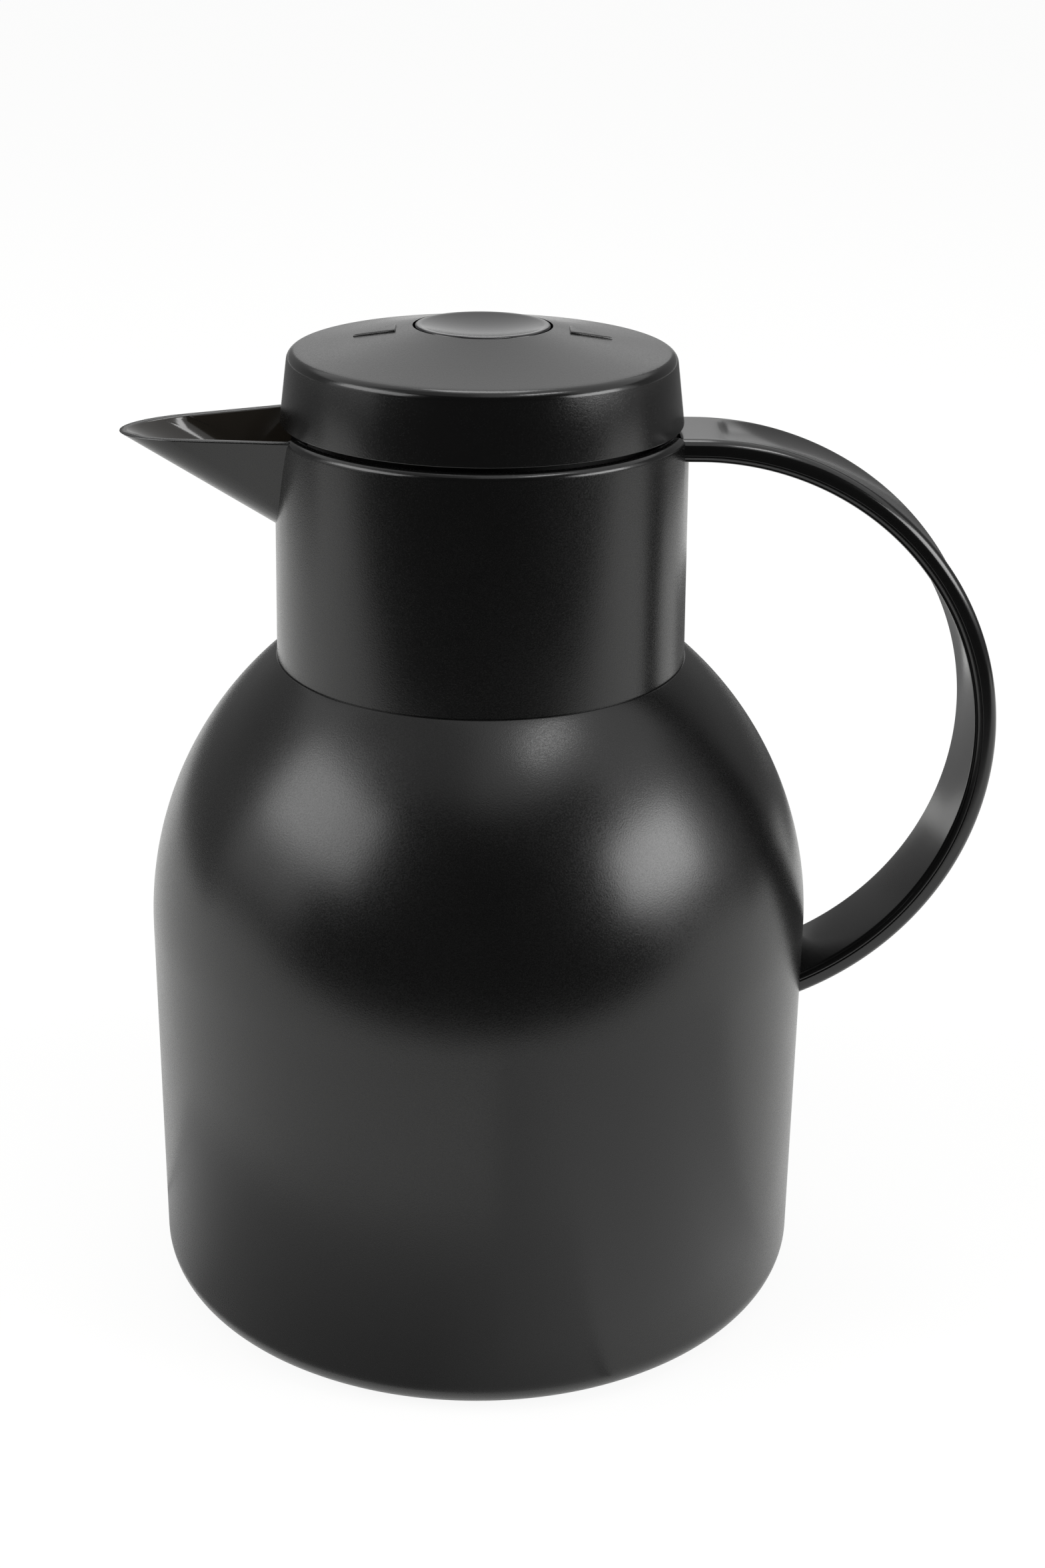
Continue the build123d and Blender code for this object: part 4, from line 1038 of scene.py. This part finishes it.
# %% Soft corners
def arc_between(start, middle, end, steps):
    """The pen's move for the arc through three points."""
    (ax, ay), (bx, by), (cx, cy) = start, middle, end
    d = 2 * (ax * (by - cy) + bx * (cy - ay) + cx * (ay - by))
    a2, b2, c2 = ax * ax + ay * ay, bx * bx + by * by, cx * cx + cy * cy
    centre = ((a2 * (by - cy) + b2 * (cy - ay) + c2 * (ay - by)) / d,
              (a2 * (cx - bx) + b2 * (ax - cx) + c2 * (bx - ax)) / d)
    first = math.atan2(ay - centre[1], ax - centre[0])
    last = math.atan2(cy - centre[1], cx - centre[0])
    turn = (math.degrees(last - first) + 180) % 360 - 180
    return (*centre, turn, steps)


def corner_points(before, corner, after, radius):
    """Start, middle and end of the arc that rounds a corner."""
    corner = Vector(corner)
    back, ahead = (Vector(before) - corner).normalized(), (Vector(after) - corner).normalized()
    half_angle = back.angle(ahead) / 2
    reach = radius / math.tan(half_angle)
    middle = corner + (back + ahead).normalized() * (radius / math.sin(half_angle) - radius)
    return [tuple(point) for point in (corner + back * reach, middle, corner + ahead * reach)]


quarter = arc_between(*corner_points((1, 0), (1, 1), (0, 1), 0.5), 1)
print("a square corner, rounded: centre", quarter[:2], "turn", round(quarter[2]))

# %% [markdown]
# ## The lid
#
# The lid is a turned cap: a small round at its lower edge, a skirt that leans inwards, a soft
# corner and a shallow slope, barely hollow, up to the button's hole. A sleeve hangs from the hole
# and guides the button, and the bore below takes the head of the drum. The corner gets the smoother
# finish, where the etching of the mould ran out.

# %% Lid
LID_GAP = 1.2
LID_BOTTOM = RIM_Z + LID_GAP
LID_RADIUS, LID_TOP_RADIUS, LID_HEIGHT = 40.4, 38.7, 13.7
LID_LOWER_ROUND, LID_EDGE_ROUND, LID_EDGE_UP = 0.3, 2.1, (0.16, 0.93)
LID_RISE, LID_BULGE, LID_STEPS = 5.0, -0.2, 224
CAP_WALL, CAP_BORE, CAP_STEP, CAP_THICKER = 2.2, 36.8, 4.0, 0.4
HOLE_RADIUS, HOLE_DRAFT, HOLE_LIP = 13.9, 0.02, 0.3
SLEEVE_WALL, SLEEVE_END = 1.7, 7.45
LID_CORNER_Z = LID_BOTTOM + LID_HEIGHT
HOLE_Z = LID_CORNER_Z + LID_RISE

skirt_foot = (LID_RADIUS, LID_BOTTOM + LID_LOWER_ROUND)
hole_edge = (HOLE_RADIUS, HOLE_Z)
edge_start, edge_middle, edge_end = corner_points(skirt_foot, (LID_TOP_RADIUS, LID_CORNER_Z), hole_edge,
                                                  LID_EDGE_ROUND)
crown = ((edge_end[0] + HOLE_RADIUS) / 2, (edge_end[1] + HOLE_Z) / 2 + LID_BULGE)
top_arc = arc_between(edge_end, crown, hole_edge, 26)
bm = bmesh.new()
draw(bm, (LID_RADIUS - LID_LOWER_ROUND, LID_BOTTOM),
     (LID_RADIUS - LID_LOWER_ROUND, LID_BOTTOM + LID_LOWER_ROUND, 90, 6),
     edge_start,
     arc_between(edge_start, edge_middle, edge_end, 12),
     top_arc,
     (HOLE_RADIUS - HOLE_DRAFT, HOLE_Z - HOLE_LIP),
     (HOLE_RADIUS, HOLE_Z - SLEEVE_END),
     (HOLE_RADIUS + SLEEVE_WALL, HOLE_Z - SLEEVE_END),
     (HOLE_RADIUS + SLEEVE_WALL, HOLE_Z - CAP_WALL - CAP_THICKER),
     (LID_TOP_RADIUS - CAP_WALL, LID_CORNER_Z - CAP_WALL),
     (CAP_BORE, LID_BOTTOM + CAP_STEP),
     (CAP_BORE, LID_BOTTOM),
     (LID_RADIUS - LID_LOWER_ROUND, LID_BOTTOM))
lathe(bm, LID_STEPS)
corner_low = (LID_CORNER_Z - LID_EDGE_ROUND) * MM
for face in bm.faces:
    rounded = LID_EDGE_UP[0] < face.normal.z < LID_EDGE_UP[1]
    face.material_index = 1 if rounded and face.calc_center_median().z > corner_low else 0
print("lid cap:", len(bm.faces), "faces, corner at", round(LID_CORNER_Z, 2), "mm")

# %% [markdown]
# ## Two arrow heads
#
# Two raised arrow heads on the lid show which way the stopper points. Each is a triangle, raised
# into a block, bevelled and cut fine enough to follow the slope, then set down on it. The height of
# the slope comes from the same arc that the lid was drawn with.

# %% Arrow heads
ARROW_INNER, ARROW_OUTER, ARROW_HALF_WIDTH = 17.2, 25.8, 3.3
ARROW_HEIGHT, ARROW_BLOCK, ARROW_ROUND = 0.4, 1.0, 0.25


def lid_top_z(radius):
    """Height of the lid's shallow slope at a distance from the axis."""
    size = math.dist(top_arc[:2], hole_edge)
    side = math.copysign(1, hole_edge[1] - top_arc[1])
    return top_arc[1] + side * math.sqrt(size ** 2 - (radius - top_arc[0]) ** 2)


def add_arrow(bm, side):
    """One raised arrow head, pointing outwards."""
    arrow = bmesh.new()
    corners = [(side * ARROW_INNER, -ARROW_HALF_WIDTH), (side * ARROW_OUTER, 0),
               (side * ARROW_INNER, ARROW_HALF_WIDTH)]
    verts = [arrow.verts.new(Vector((x, y, 0)) * MM) for x, y in corners]
    arrow.faces.new(verts)
    raised = bmesh.ops.extrude_face_region(arrow, geom=arrow.faces[:], use_keep_orig=True)
    top = [item for item in raised["geom"] if isinstance(item, bmesh.types.BMVert)]
    bmesh.ops.translate(arrow, vec=(0, 0, ARROW_BLOCK * MM), verts=top)
    upper = [edge for edge in arrow.edges if edge.verts[0] in top or edge.verts[1] in top]
    bmesh.ops.bevel(arrow, geom=upper, offset=ARROW_ROUND * MM, segments=3, profile=0.5,
                    affect="EDGES", material=-1)
    bmesh.ops.subdivide_edges(arrow, edges=arrow.edges[:], cuts=3, use_grid_fill=True)
    bmesh.ops.triangulate(arrow, faces=arrow.faces[:])
    for vert in arrow.verts:
        radius = math.hypot(vert.co.x, vert.co.y) / MM
        vert.co.z += (lid_top_z(radius) - ARROW_BLOCK + ARROW_HEIGHT) * MM
    bmesh.ops.recalc_face_normals(arrow, faces=arrow.faces[:])
    mesh = bpy.data.meshes.new("arrow")
    arrow.to_mesh(mesh)
    arrow.free()
    bm.from_mesh(mesh)
    bpy.data.meshes.remove(mesh)


for arrow_side in (1, -1):
    add_arrow(bm, arrow_side)
add_piece("lid_cap_dressed", bm, "black_lid", "lid", ["lid_cap"],
          [FINISHES["black_lid"], SMOOTH_EDGE])

# %% [markdown]
# ## The push button
#
# The button is a turned cup, upside down. Its top is dished for the thumb, and its edge has a small
# even round, which catches the light as one thin ring. Under the dish hang its skirt with the stop
# flange and the socket that holds the rod.

# %% Push button
BUTTON_RADIUS, BUTTON_TOP = 13.45, HOLE_Z + 0.25
BUTTON_ROUND, BUTTON_DISH, BUTTON_WALL = 0.5, 1.8, 1.6
FLANGE_RADIUS, FLANGE_TOP, FLANGE_LOW = 15.25, BUTTON_TOP - 7.7, BUTTON_TOP - 9.7
SOCKET_RADIUS, SOCKET_ROOF, SOCKET_DEPTH, ROD_HOLE = 4.5, 1.0, 6.0, 2.52
BUTTON_HAUNCH, BUTTON_STEPS = 3.0, 160

dish_edge = BUTTON_RADIUS - 2 * BUTTON_ROUND
dish_size = (dish_edge ** 2 + BUTTON_DISH ** 2) / (2 * BUTTON_DISH)
dish_turn = -math.degrees(math.asin(dish_edge / dish_size))
under_dish = BUTTON_TOP - BUTTON_DISH - BUTTON_WALL
bm = bmesh.new()
draw(bm, (ROD_HOLE, under_dish - SOCKET_ROOF),
     (ROD_HOLE, under_dish - SOCKET_DEPTH),
     (SOCKET_RADIUS, under_dish - SOCKET_DEPTH),
     (SOCKET_RADIUS, under_dish),
     (BUTTON_RADIUS - BUTTON_WALL - BUTTON_HAUNCH, under_dish),
     (BUTTON_RADIUS - BUTTON_WALL, under_dish + BUTTON_DISH / 2),
     (BUTTON_RADIUS - BUTTON_WALL, FLANGE_LOW),
     (FLANGE_RADIUS, FLANGE_LOW),
     (FLANGE_RADIUS, FLANGE_TOP),
     (BUTTON_RADIUS, FLANGE_TOP),
     (BUTTON_RADIUS, BUTTON_TOP - BUTTON_ROUND),
     (BUTTON_RADIUS - BUTTON_ROUND, BUTTON_TOP - BUTTON_ROUND, 90, 8),
     (dish_edge, BUTTON_TOP),
     (0, BUTTON_TOP - BUTTON_DISH + dish_size, dish_turn, 28))
draw(bm, (ROD_HOLE, under_dish - SOCKET_ROOF), (0, under_dish - SOCKET_ROOF))
lathe(bm, BUTTON_STEPS)
add_piece("push_button_dressed", bm, "black_button", "button", ["push_button"])

# %% [markdown]
# ## The return spring
#
# Pressing the button shortens the spring that stands under it. The spring is a ring of wire, spun
# about the jug's axis while it climbs a little at each step. It stands on the floor of the drum.

# %% Return spring
SPRING_WIRE, SPRING_COIL, SPRING_TURNS = 0.6, 7.4, 6
WIRE_SIDES, SPRING_STEPS = 14, 60 * SPRING_TURNS

spring_foot, spring_head = (corner[2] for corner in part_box("return_spring"))
climb = spring_head - spring_foot - 2 * SPRING_WIRE * MM
bm = bmesh.new()
bmesh.ops.create_circle(bm, segments=WIRE_SIDES, radius=SPRING_WIRE * MM,
                        matrix=Matrix.Translation((SPRING_COIL * MM, 0, spring_foot + SPRING_WIRE * MM))
                        @ Matrix.Rotation(math.radians(90), 4, "X"))
first_ring = bm.edges[:]
coil = bmesh.ops.spin(bm, geom=bm.verts[:] + first_ring, cent=(0, 0, 0), axis=(0, 0, 1),
                      angle=math.radians(360 * SPRING_TURNS), steps=SPRING_STEPS,
                      dvec=(0, 0, climb / SPRING_STEPS))
last_ring = [item for item in coil["geom_last"] if isinstance(item, bmesh.types.BMEdge)]
bmesh.ops.contextual_create(bm, geom=first_ring)
bmesh.ops.contextual_create(bm, geom=last_ring)
bmesh.ops.recalc_face_normals(bm, faces=bm.faces[:])
spring = add_piece("return_spring_coil", bm, "spring_steel", "lid", ["return_spring"])
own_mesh(spring)
print("spring height (mm):", round((spring_head - spring_foot) / MM, 2))

# %% [markdown]
# ## Dressing what is left
#
# Each solid that still shows takes the finish of its slot.

# %% Dress what is left and finish
SLOT_OF = {part["node"]: part["material_slot"] for part in frame["record"]["subparts"]}
for node_name, node in nodes.items():
    finish = FINISHES[SLOT_OF[node_name]]
    node.data.materials.clear()
    node.data.materials.append(finish)
